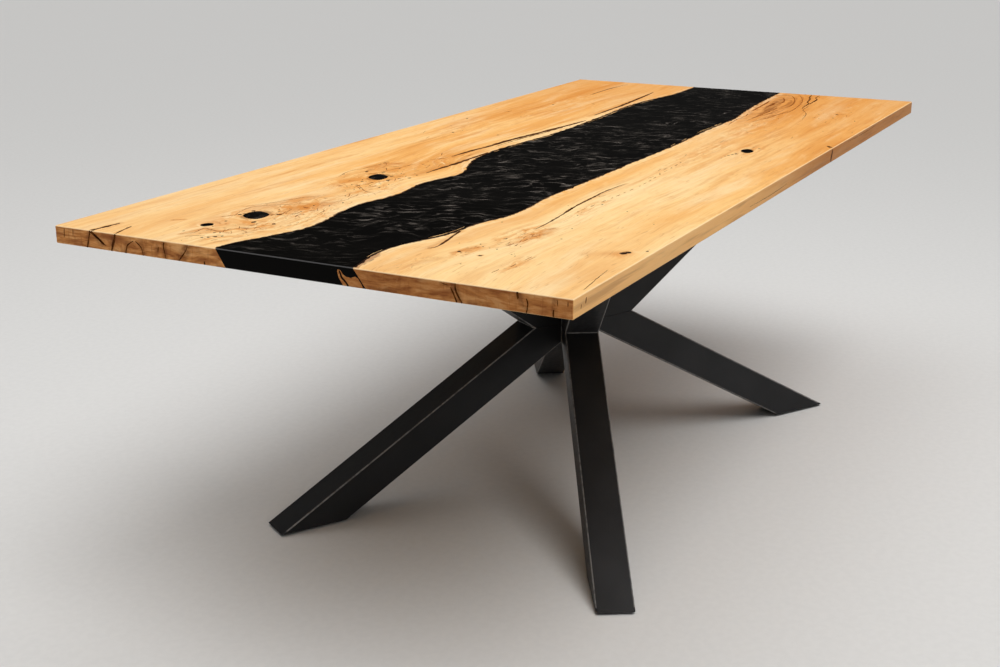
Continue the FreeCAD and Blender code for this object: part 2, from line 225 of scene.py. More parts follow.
# What each slab carries, with places on the top in metres:
# - knots: middle, half length along the grain, half width, strength of the dark rim and of the halo
# - stains: start, end, half width, strength
# - end_stains: the same round the cracks of the near end, by place along the end and height
# - clouds of figured wood: middle, half sizes, strength
# - crotch, where a branch left the trunk: middle, half length, half width
# - strip_end: where a strip of darker wood along the live edge ends
# - end_dark: share of dark in the end grain
# - far_tint: where the darker far part starts and is full, and its share
# - streaks: strength of the grain's streaks near and far
# - lines, patches of fine brown lines: middle, half sizes, how many, length, width; and their wander
# - curves and dashes, single brown lines: points, width
# - specks: place, half width; and scatter round the knots: middle, reach, how many
# - splinters, pale slivers off the live edge: stretch, how many
REAR = SimpleNamespace(
    name="rear", side=1, edge=live_edge(1), wood_seed=2.7, fringe_seed=1.3,
    line_seed=4, speck_seed=12, splinter_seed=31,
    crotch=None, strip_end=None, end_dark=0.0, far_tint=(0.0, 1.15, 0.58), streaks=(1.15, 1.3), wander=0.3,
    knots=[
        ((-0.871, 0.237), 0.034, 0.022, 0.45, 0.9),
        ((-0.972, 0.267), 0.014, 0.01, 0.4, 0.6),
        ((-0.473, 0.23), 0.032, 0.018, 0.45, 0.9),
    ],
    stains=[
        ((-0.42, 0.175), (-0.2, 0.163), 0.02, 0.55),
        ((-0.2, 0.209), (0.09, 0.188), 0.013, 0.5),
        ((0.09, 0.188), (0.367, 0.159), 0.012, 0.5),
        ((0.45, 0.178), (0.83, 0.187), 0.014, 0.5),
        ((-0.83, 0.272), (-0.7, 0.245), 0.03, 0.45),
        ((-0.79, 0.205), (-0.72, 0.175), 0.036, 0.6),
        ((-0.39, 0.3), (-0.33, 0.27), 0.026, 0.6),
        ((-1.1, 0.416), (-1.03, 0.41), 0.008, 0.4),
        ((-1.05, 0.262), (-0.997, 0.252), 0.009, 0.65),
        ((-0.997, 0.252), (-1.004, 0.192), 0.011, 0.6),
        ((-0.972, 0.343), (-0.959, 0.329), 0.008, 0.8),
        ((-1.024, 0.166), (-1.015, 0.16), 0.008, 0.8),
        ((-0.823, 0.301), (-0.795, 0.272), 0.01, 0.5),
        ((-0.795, 0.272), (-0.807, 0.204), 0.012, 0.5),
    ],
    end_stains=[
        ((0.205, 0.748), (0.228, 0.719), 0.012, 0.7),
        ((0.205, 0.736), (0.216, 0.722), 0.009, 0.6),
        ((0.256, 0.748), (0.254, 0.719), 0.008, 0.6),
        ((0.27, 0.74), (0.272, 0.728), 0.006, 0.6),
        ((0.306, 0.742), (0.3, 0.722), 0.008, 0.5),
        ((0.336, 0.735), (0.342, 0.719), 0.009, 0.6),
        ((0.366, 0.748), (0.373, 0.719), 0.009, 0.6),
        ((0.42, 0.748), (0.392, 0.728), 0.01, 0.6),
        ((0.422, 0.74), (0.428, 0.719), 0.008, 0.5),
    ],
    clouds=[
        ((-0.79, 0.205), (0.17, 0.085), 1.0),
        ((-0.97, 0.2), (0.15, 0.085), 1.0),
        ((-0.86, 0.135), (0.16, 0.045), 0.8),
        ((-0.5, 0.24), (0.18, 0.085), 0.9),
        ((-0.58, 0.18), (0.12, 0.06), 0.9),
        ((-0.36, 0.285), (0.1, 0.035), 0.9),
        ((-0.3, 0.205), (0.16, 0.05), 0.7),
        ((0.1, 0.36), (0.25, 0.06), 0.3),
        ((0.55, 0.33), (0.35, 0.09), 0.3),
    ],
    lines=[
        ((-0.8, 0.18), (0.1, 0.045), 8, 0.03, 0.0015),
        ((-0.93, 0.205), (0.08, 0.04), 7, 0.026, 0.0014),
        ((-1.03, 0.195), (0.045, 0.03), 6, 0.022, 0.0015),
        ((-0.54, 0.19), (0.08, 0.03), 8, 0.026, 0.0014),
        ((-0.3, 0.215), (0.12, 0.04), 9, 0.034, 0.0015),
        ((-0.42, 0.275), (0.06, 0.02), 5, 0.032, 0.0014),
        ((-0.69, 0.165), (0.05, 0.02), 5, 0.028, 0.0013),
        ((0.3, 0.32), (0.35, 0.11), 7, 0.03, 0.0011),
    ],
    curves=[
        ([(-0.896, 0.266), (-0.862, 0.28), (-0.822, 0.284), (-0.79, 0.262), (-0.77, 0.236),
          (-0.745, 0.214)], 0.0016),
        ([(-0.82, 0.298), (-0.767, 0.272), (-0.72, 0.255), (-0.692, 0.238), (-0.69, 0.215)], 0.0014),
        ([(-0.574, 0.233), (-0.556, 0.2302), (-0.572, 0.2094), (-0.601, 0.1789), (-0.613, 0.1519),
          (-0.622, 0.14)], 0.0015),
        ([(-0.508, 0.3036), (-0.447, 0.316), (-0.412, 0.306), (-0.365, 0.3024)], 0.0014),
        ([(-0.44, 0.256), (-0.4, 0.248), (-0.35, 0.238)], 0.0013),
        ([(-1.05, 0.262), (-1.029, 0.249), (-0.997, 0.253), (-0.999, 0.238), (-1.003, 0.222),
          (-1.004, 0.192)], 0.0017),
        ([(-0.914, 0.285), (-0.897, 0.276), (-0.882, 0.265)], 0.002),
        ([(-0.854, 0.215), (-0.85, 0.2), (-0.823, 0.206)], 0.0018),
        ([(-0.99, 0.21), (-0.962, 0.198), (-0.95, 0.176), (-0.958, 0.156)], 0.0015),
        ([(-1.06, 0.244), (-1.046, 0.233), (-1.04, 0.216)], 0.0015),
    ],
    dashes=[],
    specks=[
        (-0.918, 0.207, 0.0048), (-0.914, 0.166, 0.004), (-0.881, 0.265, 0.0042), (-0.849, 0.203, 0.0046),
        (-0.846, 0.262, 0.0036), (-0.935, 0.255, 0.003), (-1.045, 0.206, 0.0034), (-1.036, 0.198, 0.004),
        (-1.028, 0.19, 0.0028), (-1.052, 0.214, 0.0024), (-0.4815, 0.3092, 0.0026),
        (-0.4367, 0.2813, 0.0036), (-0.4243, 0.2463, 0.003), (-0.4531, 0.2101, 0.004),
        (-0.4912, 0.1943, 0.0046), (-0.4524, 0.168, 0.0036), (-0.5258, 0.2348, 0.003),
        (-0.5683, 0.2197, 0.0024), (-0.42, 0.17, 0.0024), (-0.56, 0.172, 0.0026),
        (0.072, 0.3639, 0.0034), (0.2718, 0.4363, 0.003), (0.5904, 0.3472, 0.0034),
        (0.9571, 0.336, 0.0036), (0.0895, 0.2509, 0.0024),
    ],
    scatter=[
        (-0.87, 0.215, 0.06, 14), (-0.985, 0.23, 0.045, 8), (-0.5, 0.205, 0.055, 30),
        (-0.7, 0.2, 0.1, 14), (0.3, 0.3, 0.3, 8),
    ],
    splinters=[((0.3, 0.74), 16), ((-0.12, 0.1), 4)],
)
FRONT = SimpleNamespace(
    name="front", side=-1, edge=live_edge(-1), wood_seed=9.4, fringe_seed=6.1,
    line_seed=9, speck_seed=21, splinter_seed=37,
    crotch=((0.83, -0.176), 0.31, 0.092), strip_end=-0.98, end_dark=0.3,
    far_tint=(-0.7, 1.3, 0.64), streaks=(0.55, 1.35), wander=0.1,
    knots=[
        ((0.161, -0.341), 0.026, 0.012, 0.35, 0.5),
        ((-0.817, -0.46), 0.012, 0.006, 0.6, 0.5),
    ],
    stains=[
        ((-0.945, -0.212), (-0.895, -0.231), 0.01, 0.8),
        ((-0.938, -0.216), (-0.926, -0.22), 0.004, 0.95),
        ((-0.942, -0.259), (-0.938, -0.262), 0.006, 0.9),
        ((-1.09, -0.176), (-0.984, -0.211), 0.016, 0.4),
        ((-0.84, -0.272), (-0.72, -0.284), 0.018, 0.5),
        ((-0.94, -0.164), (-0.806, -0.15), 0.01, 0.45),
        ((-0.48, -0.238), (-0.3, -0.244), 0.008, 0.45),
        ((-0.85, -0.41), (-0.822, -0.456), 0.026, 0.36),
        ((0.11, -0.348), (0.25, -0.338), 0.006, 0.35),
        ((0.77, -0.38), (0.79, -0.392), 0.01, 0.6),
    ],
    end_stains=[
        ((-0.3, 0.748), (-0.312, 0.719), 0.011, 0.65),
        ((-0.28, 0.746), (-0.292, 0.744), 0.006, 0.5),
        ((-0.41, 0.748), (-0.425, 0.722), 0.01, 0.55),
        ((-0.47, 0.744), (-0.469, 0.72), 0.008, 0.5),
        ((-0.36, 0.722), (-0.33, 0.72), 0.008, 0.5),
        ((-0.2, 0.722), (-0.15, 0.72), 0.008, 0.5),
    ],
    clouds=[
        ((-0.79, -0.26), (0.12, 0.05), 1.0),
        ((-0.92, -0.225), (0.08, 0.026), 0.8),
        ((-1.04, -0.19), (0.1, 0.03), 0.5),
        ((-0.96, -0.335), (0.09, 0.022), 0.6),
        ((-0.55, -0.272), (0.2, 0.02), 0.5),
        ((0.1, -0.26), (0.35, 0.045), 0.4),
        ((0.48, -0.25), (0.26, 0.06), 0.6),
        ((0.75, -0.39), (0.12, 0.03), 0.5),
    ],
    lines=[
        ((-0.8, -0.265), (0.07, 0.018), 8, 0.026, 0.0015),
        ((-0.97, -0.333), (0.06, 0.012), 4, 0.03, 0.0013),
        ((0.72, -0.2), (0.12, 0.025), 6, 0.06, 0.0018),
        ((0.56, -0.33), (0.32, 0.09), 7, 0.028, 0.0012),
        ((-0.2, -0.25), (0.25, 0.02), 7, 0.028, 0.001),
    ],
    curves=[
        ([(0.934, -0.151), (0.822, -0.16), (0.725, -0.166)], 0.0052),
        ([(0.818, -0.208), (0.698, -0.207), (0.573, -0.203)], 0.0036),
        ([(0.773, -0.249), (0.652, -0.239), (0.562, -0.221)], 0.0026),
        ([(1.036, -0.136), (1.055, -0.151), (1.049, -0.178), (0.948, -0.215), (0.84, -0.229),
          (0.807, -0.208)], 0.0028),
        ([(1.07, -0.146), (1.087, -0.164), (1.079, -0.189), (0.957, -0.234), (0.788, -0.256),
          (0.708, -0.245), (0.603, -0.222)], 0.0022),
        ([(0.985, -0.146), (0.998, -0.166), (0.93, -0.19), (0.865, -0.186), (0.88, -0.172)], 0.0034),
        ([(0.9, -0.174), (0.852, -0.18), (0.815, -0.176)], 0.006),
        ([(0.64, -0.178), (0.56, -0.176), (0.48, -0.186)], 0.0022),
    ],
    dashes=[
        ([(-0.579, -0.265), (-0.43, -0.273), (-0.287, -0.276), (-0.15, -0.266), (-0.031, -0.259)], 0.0017),
        ([(-0.86, -0.281), (-0.8, -0.278), (-0.75, -0.268)], 0.0018),
    ],
    specks=[
        (0.118, -0.33, 0.0036), (0.104, -0.326, 0.003), (0.09, -0.322, 0.0026), (0.078, -0.318, 0.002),
        (0.202, -0.356, 0.0026), (-0.82, -0.458, 0.0064), (-0.812, -0.464, 0.0052),
        (-0.79, -0.488, 0.0024), (0.7767, -0.3786, 0.0036), (0.715, -0.3849, 0.0026),
        (-0.9335, -0.2178, 0.0034), (-0.9405, -0.2605, 0.003),
    ],
    scatter=[
        (-0.88, -0.26, 0.08, 16), (-0.56, -0.255, 0.12, 8), (0.13, -0.33, 0.05, 8),
        (0.7, -0.32, 0.16, 10),
    ],
    splinters=[((0.1, 0.62), 7), ((-1.05, -0.8), 4)],
)
SLABS = (REAR, FRONT)

# Tones of the wood
MAPLE = SimpleNamespace(
    bands=(
        (0.31, tone(254, 221, 162)), (0.45, tone(252, 208, 140)),
        (0.56, tone(246, 187, 110)), (0.7, tone(224, 152, 74)),
    ),
    line=tone(216, 140, 64),
    pale=tone(254, 226, 174),
    grain=tone(206, 130, 58),
    grain_pale=tone(255, 230, 182),
    far=tone(224, 148, 70),
    outer=tone(228, 152, 72),
    growth=tone(210, 132, 60),
    fibre=tone(200, 134, 72),
    fleck=tone(182, 108, 50),
    mottle=tone(225, 149, 71),
    mottle_pale=tone(254, 227, 176),
    stain=tone(205, 130, 60),
    stain_fleck=tone(158, 88, 36),
    stain_blot=tone(122, 64, 26),
    rim=tone(104, 56, 24),
    crotch=tone(222, 144, 66),
    crotch_arc=tone(150, 82, 32),
    crotch_core=tone(122, 62, 24),
    sapwood=tone(254, 228, 182),
    strip=tone(166, 116, 82),
    strip_line=tone(88, 50, 26),
    bark=tone(84, 46, 22),
    side_near=tone(232, 176, 108),
    side_far=tone(160, 96, 30),
    side_stripe=tone(128, 74, 32),
    ends=((0.3, tone(222, 164, 102)), (0.5, tone(194, 128, 68)), (0.68, tone(142, 82, 38))),
    end_ray=tone(128, 72, 36),
    end_grime=tone(138, 78, 40),
    end_pale=tone(228, 176, 116),
    end_dark=tone(122, 68, 32),
    end_stain=tone(92, 48, 22),
    # painted highlight for the eased upper edges, where their round would catch the light
    eased=tone(255, 226, 178),
)

# Range across the table that both live edges keep to, their usual place, and steps of the drawn edge
EDGE_LEAST = 0.02
EDGE_MOST = 0.22
EDGE_USUAL = 0.14
EDGE_STEPS = 33


# Pale maple: grain that follows the live edge and parts round the knots
class Wood(Net):
    def __init__(self, slab):
        super().__init__("slab_wood_" + slab.name)
        self.slab = slab
        self.x, self.y, self.z = self.split(self.spot)
        self.flat = self.join(self.x, self.y, 0.0)
        self.depth = self.depth_from_edge()
        self.across = self.lie_of_grain()
        halo, self.rim = self.part_round_knots()
        self.stain = self.marks(self.flat, slab.stains)
        self.figure = self.clouds()
        self.worked = self.math("MAXIMUM", self.figure, halo)
        curl = self.swing(self.drawn_noise((13.0, 24.0, 24.0), rough=0.6), 0.055)
        self.across = self.add(self.across, self.mul(curl, self.worked))

    # How deep a point lies in the slab, from its live edge
    def depth_from_edge(self):
        side = self.slab.side
        low, high = sorted((EDGE_LEAST * side, EDGE_MOST * side))
        points = []
        for step in range(EDGE_STEPS + 1):
            share = step / EDGE_STEPS
            place = along_edge(self.slab.edge, -HALF_LENGTH + share * 2 * HALF_LENGTH)
            points.append((share, (place - low) / (high - low)))
        share_x = self.math("MULTIPLY_ADD", self.x, 0.5 / HALF_LENGTH, 0.5)
        edge_y = self.math("MULTIPLY_ADD", self.curve(share_x, points), high - low, low)
        return self.mul(self.sub(self.y, edge_y), side)

    # Place across the grain: along the live edge near the river, straight further off
    def lie_of_grain(self):
        straight = self.sub(self.mul(self.y, self.slab.side), EDGE_USUAL)
        far = self.ease(self.depth, 0.02, 0.24)
        across = self.add(self.mul(self.depth, self.sub(1.0, far)), self.mul(straight, far))
        return self.add(across, self.swing(self.flat_noise(1.3, 3.4), 0.085))

    def flat_noise(self, along, over):
        vector = self.join(self.mul(self.x, along), self.mul(self.y, over), self.slab.wood_seed)
        return self.noise(vector, detail=3.0)

    def reach_from(self, middle, scales):
        offset = self.vector("SUBTRACT", self.flat, (middle[0], middle[1], 0.0))
        return self.vector("LENGTH", self.vector("MULTIPLY", offset, (scales[0], scales[1], 0.0)))

    # Bends the grain aside at each knot
    def part_round_knots(self):
        halos = []
        rims = []
        for middle, half_length, half_width, rim_share, halo_share in self.slab.knots:
            away = self.reach_from(middle, (half_width / half_length, 1.0))
            squared = half_width * half_width
            pull = self.math("DIVIDE", squared * 1.6, self.add(self.mul(away, away), squared * 0.5))
            aside = self.mul(self.sub(self.y, middle[1]), self.slab.side)
            self.across = self.sub(self.across, self.mul(aside, self.mul(pull, 0.85)))
            halos.append(self.ease(away, half_width, half_width * 4.2, halo_share, 0.0))
            rims.append(self.ease(away, half_width * 0.95, half_width * 1.16, rim_share, 0.0))
        return self.largest(halos), self.largest(rims)

    def from_segment(self, spot, start, end):
        run = Vector((end[0] - start[0], end[1] - start[1], 0.0))
        offset = self.vector("SUBTRACT", spot, (start[0], start[1], 0.0))
        along = self.vector("DOT_PRODUCT", offset, tuple(run))
        share = self.mul(along, 1.0 / run.length_squared, clamp=True)
        return self.vector("DISTANCE", offset, self.vector("SCALE", tuple(run), scale=share))

    def marks(self, spot, rows):
        found = []
        for start, end, half_width, strength in rows:
            found.append(self.ease(self.from_segment(spot, start, end), 0.0, half_width, strength, 0.0))
        return self.largest(found)

    def clouds(self):
        found = []
        for middle, (half_x, half_y), strength in self.slab.clouds:
            away = self.reach_from(middle, (1.0 / half_x, 1.0 / half_y))
            found.append(self.ease(away, 0.3, 1.0, strength, 0.0))
        return self.largest(found)

    # Noise drawn out along the grain
    def streak(self, along, over, detail=2.0, rough=0.5, shift=0.0, twist=0.0):
        depth = self.add(self.mul(self.z, over), self.slab.wood_seed + shift)
        vector = self.join(self.mul(self.x, along), self.mul(self.across, over), depth)
        return self.noise(vector, 1.0, detail, rough, twist)

    # Broad bands, then streaks of three widths, then the change of tone along and across the slab
    def paint_grain(self):
        bands = self.streak(along=0.9, over=7.0, detail=3.0, rough=0.55)
        self.lines = self.streak(along=2.6, over=34.0, detail=4.0, rough=0.62, shift=3.0)
        pale = self.streak(along=2.0, over=19.0, detail=3.0, shift=7.0)
        grain = self.streak(along=4.5, over=88.0, detail=3.0, rough=0.6, shift=61.0)
        strength = self.ease(self.x, -0.55, 0.45, *self.slab.streaks)
        self.colour = self.ramp(bands, MAPLE.bands)
        self.tint(self.mul(self.ease(self.lines, 0.5, 0.74, 0.0, 0.66), strength), MAPLE.line)
        self.tint(self.ease(pale, 0.5, 0.7, 0.0, 0.66), MAPLE.pale)
        self.tint(self.mul(self.ease(grain, 0.52, 0.72, 0.0, 0.46), strength), MAPLE.grain)
        self.tint(self.mul(self.ease(grain, 0.3, 0.46, 0.34, 0.0), strength), MAPLE.grain_pale)
        start, full, share = self.slab.far_tint
        self.tint(self.ease(self.x, start, full, 0.0, share), MAPLE.far)
        self.tint(self.ease(self.x, -0.85, -0.4, 0.26, 0.0), MAPLE.pale)
        self.tint(self.ease(self.y, 0.1, 0.5, 0.0, 0.2), MAPLE.outer)

    # Growth lines, soft on one side and sharp on the other, and the fibres
    def paint_growth(self):
        place = self.join(self.mul(self.x, 2.6), self.mul(self.across, 9.0), self.slab.wood_seed)
        bend = self.mul(self.noise(place, detail=3.0), 2.2)
        years = self.math("FRACT", self.add(self.mul(self.across, 58.0), bend))
        late = self.ease(years, 0.55, 0.97)
        self.tint(self.mul(late, self.ease(self.worked, 0.0, 0.8, 0.05, 0.38)), MAPLE.growth)
        self.fibre = self.streak(along=11.0, over=430.0, rough=0.6, shift=11.0)
        self.tint(self.ease(self.fibre, 0.4, 0.75, 0.0, 0.15), MAPLE.fibre)
        fleck = self.streak(along=34.0, over=300.0, detail=0.0, shift=17.0)
        self.tint(self.ease(fleck, 0.73, 0.82, 0.0, 0.3), MAPLE.fleck)

    # Tan and cream patches, strongest in the figured wood
    def paint_mottle(self):
        mottle = self.streak(along=15.0, over=42.0, detail=4.0, rough=0.6, shift=29.0, twist=0.9)
        tan_share = self.add(self.mul(self.worked, 0.82), 0.12, clamp=True)
        self.tint(self.mul(self.ease(mottle, 0.45, 0.66), tan_share), MAPLE.mottle)
        cream_share = self.add(self.mul(self.worked, 0.6), 0.16, clamp=True)
        self.tint(self.mul(self.ease(mottle, 0.3, 0.44, 1.0, 0.0), cream_share), MAPLE.mottle_pale)

    # Stains along the cracks, brown flecks in all of the worked wood, and the rims of the knots
    def paint_stains(self):
        cloud = self.drawn_noise((9.0, 17.0, 17.0), detail=4.0, rough=0.6)
        self.tint(self.mul(self.stain, self.ease(cloud, 0.3, 0.6, 0.45, 1.0)), MAPLE.stain)
        zone = self.math("MAXIMUM", self.figure, self.mul(self.stain, 1.2))
        small = self.streak(along=60.0, over=150.0, rough=0.55, shift=37.0, twist=1.0)
        small = self.mul(self.ease(small, 0.6, 0.69), self.add(zone, 0.05, clamp=True))
        self.tint(self.mul(small, 0.75), MAPLE.stain_fleck)
        large = self.streak(along=30.0, over=82.0, detail=3.0, rough=0.6, shift=43.0, twist=1.4)
        large = self.mul(self.ease(large, 0.63, 0.72), self.add(zone, 0.015, clamp=True))
        self.tint(self.mul(large, 0.85), MAPLE.stain_blot)
        self.tint(self.rim, MAPLE.rim)

    # Nested curved lines round a dark core
    def paint_crotch(self, middle, half_length, half_width):
        bend = self.swing(self.drawn_noise((7.0, 16.0, 0.0), rough=0.6), 0.6)
        away = self.add(self.reach_from(middle, (1.0 / half_length, 1.0 / half_width)), bend)
        inside = self.ease(away, 0.6, 1.2, 1.0, 0.0)
        self.tint(self.mul(inside, 0.55), MAPLE.crotch)
        arcs = self.ease(self.math("FRACT", self.mul(away, 6.5)), 0.45, 0.96)
        self.tint(self.mul(self.mul(arcs, inside), 0.42), MAPLE.crotch_arc)
        core = self.mul(self.ease(away, 0.2, 0.75, 1.0, 0.0), self.ease(self.lines, 0.46, 0.62))
        self.tint(self.mul(core, 0.78), MAPLE.crotch_core)

    # Sapwood along the river, with a thin line of inner bark at the resin
    def paint_edge(self):
        ragged = self.flat_noise(60.0, 60.0)
        sapwood = self.ease(self.depth, 0.004, 0.03, 0.45, 0.0)
        self.tint(self.mul(sapwood, self.ease(ragged, 0.35, 0.6)), MAPLE.sapwood)
        if self.slab.strip_end is not None:
            self.paint_strip(ragged)
        bark_width = self.ease(ragged, 0.35, 0.72, 0.0012, 0.0074)
        bark = self.math("DIVIDE", self.depth, bark_width)
        self.tint(self.ease(bark, 0.35, 1.0, 0.92, 0.0), MAPLE.bark)

    # A strip of darker wood from the near end on, with a dark line along its edge
    def paint_strip(self, ragged):
        end = self.slab.strip_end
        width = self.ease(self.x, end - 0.05, end, 0.0135, 0.0)
        inside = self.sub(width, self.depth)
        self.tint(self.mul(self.ease(inside, 0.0, 0.003), 0.72), MAPLE.strip)
        line = self.ease(self.math("ABSOLUTE", inside), 0.0, 0.0026, 0.75, 0.0)
        self.tint(self.mul(line, self.ease(ragged, 0.4, 0.58)), MAPLE.strip_line)

    # Share of the faces that look along one axis
    def facing(self, axis):
        return self.ease(self.math("ABSOLUTE", self.split(self.normal)[axis]), 0.55, 0.9)

    # Long sides: the grain again, darker away from the near corner
    def paint_sides(self):
        side_face = self.facing(1)
        side_colour = self.mix(self.ease(self.x, -0.5, 0.3), MAPLE.side_near, MAPLE.side_far)
        self.tint(self.mul(side_face, 0.74), side_colour)
        stripe = self.streak(along=3.0, over=90.0, detail=3.0, rough=0.6, shift=51.0)
        self.tint(self.mul(self.ease(stripe, 0.5, 0.7, 0.0, 0.36), side_face), MAPLE.side_stripe)

    def end_noise(self, over, up, height, detail=3.0, rough=0.5, twist=0.0):
        vector = self.join(self.slab.wood_seed, self.mul(self.y, over), self.mul(height, up))
        return self.noise(vector, 1.0, detail, rough, twist)

    # End grain: darker, with upright streaks and the growth lines cut across
    def paint_ends(self):
        face_colour = self.colour
        swell = self.add(self.z, self.mul(self.end_noise(9.0, 26.0, self.z), 0.03))
        self.colour = self.ramp(self.end_noise(26.0, 150.0, swell, 4.0, 0.6), MAPLE.ends)
        rays = self.end_noise(210.0, 26.0, self.z, rough=0.6)
        self.tint(self.ease(rays, 0.54, 0.78, 0.0, 0.5), MAPLE.end_ray)
        grime = self.end_noise(17.0, 40.0, self.z, twist=1.0)
        self.tint(self.ease(grime, 0.46, 0.66, 0.0, 0.62), MAPLE.end_grime)
        self.tint(self.ease(grime, 0.3, 0.42, 0.45, 0.0), MAPLE.end_pale)
        self.tint(self.slab.end_dark, MAPLE.end_dark)
        stain = self.marks(self.join(self.y, self.z, 0.0), self.slab.end_stains)
        blot = self.end_noise(120.0, 120.0, self.z, rough=0.6)
        stain = self.mul(stain, self.ease(blot, 0.3, 0.62, 0.25, 1.0))
        near_end = self.ease(self.x, -0.5, 0.0, 1.0, 0.0)
        self.tint(self.mul(stain, near_end), MAPLE.end_stain)
        self.colour = self.mix(self.facing(0), face_colour, self.colour)

    def dry_surface(self):
        rough = self.ease(self.fibre, 0.3, 0.7, 0.4, 0.5)
        height = self.add(self.mul(self.fibre, 0.6), self.mul(self.lines, 0.4))
        return self.finish(rough, self.bump(height, 0.12, 0.0004), Specular_IOR_Level=0.1)


def wood_material(slab):
    wood = Wood(slab)
    wood.paint_grain()
    wood.paint_growth()
    wood.paint_mottle()
    wood.paint_stains()
    if slab.crotch is not None:
        wood.paint_crotch(*slab.crotch)
    wood.paint_edge()
    wood.paint_sides()
    wood.paint_ends()
    # Painted highlight: the eased upper edges of the ends and sides are tinted pale, as if they caught the
    # light
    wood.tint(wood.mul(wood.upper_round(0.12, 0.4), 0.55), MAPLE.eased)
    return wood.dry_surface()


# Black resin with grey pearl pigment drawn out in wavy wisps, which lie aslant in the river
WISP_TURN = math.radians(-62.0)


def resin_material():
    net = Net("river_resin_black")
    x, y, z = net.split(net.spot)
    along = net.add(net.mul(x, math.cos(WISP_TURN)), net.mul(y, math.sin(WISP_TURN)))
    over = net.add(net.mul(x, -math.sin(WISP_TURN)), net.mul(y, math.cos(WISP_TURN)))
    turned = net.join(along, over, z)
    swell = net.noise(turned, scale=5.0)
    bend = net.noise(net.join(along, over, 6.0), scale=13.0)
    twirl = net.noise(net.join(along, over, 9.0), scale=24.0)
    over_bent = net.add(over, net.add(net.swing(swell, 0.16), net.swing(bend, 0.085)))
    along_bent = net.add(along, net.swing(twirl, 0.05))

    def wisps(along_scale, over_scale, lean, shift, low, high):
        leant = net.add(over_bent, net.mul(along_bent, lean))
        vector = net.join(net.mul(along_bent, along_scale), net.mul(leant, over_scale), shift)
        return net.ease(net.noise(vector, detail=3.0, rough=0.6), low, high)

    broad_wisps = wisps(16.0, 70.0, 0.1, 1.0, 0.54, 0.75)
    thin_wisps = wisps(21.0, 94.0, -0.22, 5.0, 0.56, 0.77)
    strands = net.math("MAXIMUM", broad_wisps, thin_wisps)
    glow = net.ease(net.noise(net.join(along, over, 14.0), scale=30.0), 0.32, 0.66, 0.35, 1.0)
    hair = net.noise(net.join(net.mul(along, 30.0), net.mul(over_bent, 240.0), 2.0), rough=0.6)
    patch = net.ease(net.noise(turned, scale=9.0, detail=3.0, rough=0.6), 0.38, 0.6)
    share = net.mul(net.mul(strands, glow), net.ease(hair, 0.36, 0.66, 0.65, 1.0))
    share = net.mul(share, net.add(net.mul(patch, 0.85), 0.15))
    # Fewer wisps towards both ends of the river, and none but on its top
    share = net.mul(share, net.ease(x, -1.05, -0.45, 0.4, 1.0))
    share = net.mul(share, net.ease(x, 0.0, 0.5, 1.0, 0.52))
    veil = net.mul(net.ease(swell, 0.45, 0.75), 0.005)
    level = net.ease(net.split(net.normal)[2], 0.8, 0.97)
    net.colour = net.mix(net.mul(net.add(share, veil), level), tone(3, 2, 1), tone(160, 150, 140))
    # Painted highlight: a grey tint on the resin's upper rounded edges, as if they caught the light
    net.tint(net.mul(net.upper_round(0.2, 0.45), 0.5), tone(104, 103, 103))
    rough = net.ease(hair, 0.3, 0.7, 0.11, 0.19)
    ripple = net.noise(turned, scale=55.0)
    return net.finish(rough, net.bump(ripple, 0.02, 0.0005), Specular_IOR_Level=0.05)


# Where a tube that leaves the waist at the given slope turns from one flat to the next
def tube_corner(net, slope):
    spot = net.split(net.spot)
    turn = net.split(net.normal)
    facing_x = net.mul(turn[0], net.math("SIGN", spot[0]))
    facing_y = net.mul(turn[1], net.math("SIGN", spot[1]))
    facing = net.join(facing_x, facing_y, turn[2])
    level = math.cos(slope)
    run = Vector((math.cos(PLAN_ANGLE) * level, math.sin(PLAN_ANGLE) * level, math.sin(slope)))
    across = Vector((-math.sin(PLAN_ANGLE), math.cos(PLAN_ANGLE), 0.0))
    shares = []
    for axis in (run, across, run.cross(across)):
        shares.append(net.math("ABSOLUTE", net.vector("DOT_PRODUCT", facing, tuple(axis))))
    corner = net.ease(net.largest(shares[1:]), 0.86, 0.985, 1.0, 0.0)
    return net.mul(corner, net.ease(shares[0], 0.2, 0.45, 1.0, 0.0))


# Satin black powder coat with a fine orange-peel skin; on the corners of a sloping tube it is painted paler,
# partly as rubbed wear and partly as a painted highlight
def powder_material(name, slope=None):
    net = Net(name)
    peel = net.noise(net.spot, scale=620.0)
    skin = net.noise(net.spot, scale=95.0, detail=3.0)
    broad = net.noise(net.spot, scale=7.0, detail=3.0)
    net.colour = net.mix(net.ease(broad, 0.3, 0.7), tone(29, 29, 30), tone(37, 37, 38))
    net.tint(net.ease(peel, 0.55, 0.8, 0.0, 0.4), tone(52, 52, 54))
    if slope is not None:
        # Paler corners: partly rubbed wear, partly a painted highlight
        rubbed_highlight = net.mul(tube_corner(net, slope), net.ease(skin, 0.3, 0.6, 0.45, 1.0))
        net.tint(net.mul(rubbed_highlight, 0.85), tone(138, 135, 133))
    rough = net.ease(skin, 0.25, 0.75, 0.38, 0.48)
    height = net.add(net.mul(peel, 0.5), net.mul(skin, 0.5))
    return net.finish(rough, net.bump(height, 0.1, 0.0005), Specular_IOR_Level=0.17)


# The same coat painted pale on the ridge of a weld, partly as rubbed wear and partly as a painted highlight
def rubbed_highlight_material():
    net = Net("powder_coat_rubbed_highlight")
    skin = net.noise(net.spot, scale=95.0, detail=3.0)
    wear_and_highlight = net.noise(net.spot, scale=34.0, detail=3.0, rough=0.6)
    net.colour = net.mix(net.ease(wear_and_highlight, 0.32, 0.58), tone(64, 63, 63), tone(150, 147, 144))
    rough = net.ease(skin, 0.25, 0.75, 0.34, 0.46)
    return net.finish(rough, net.bump(skin, 0.1, 0.0005), Specular_IOR_Level=0.25)


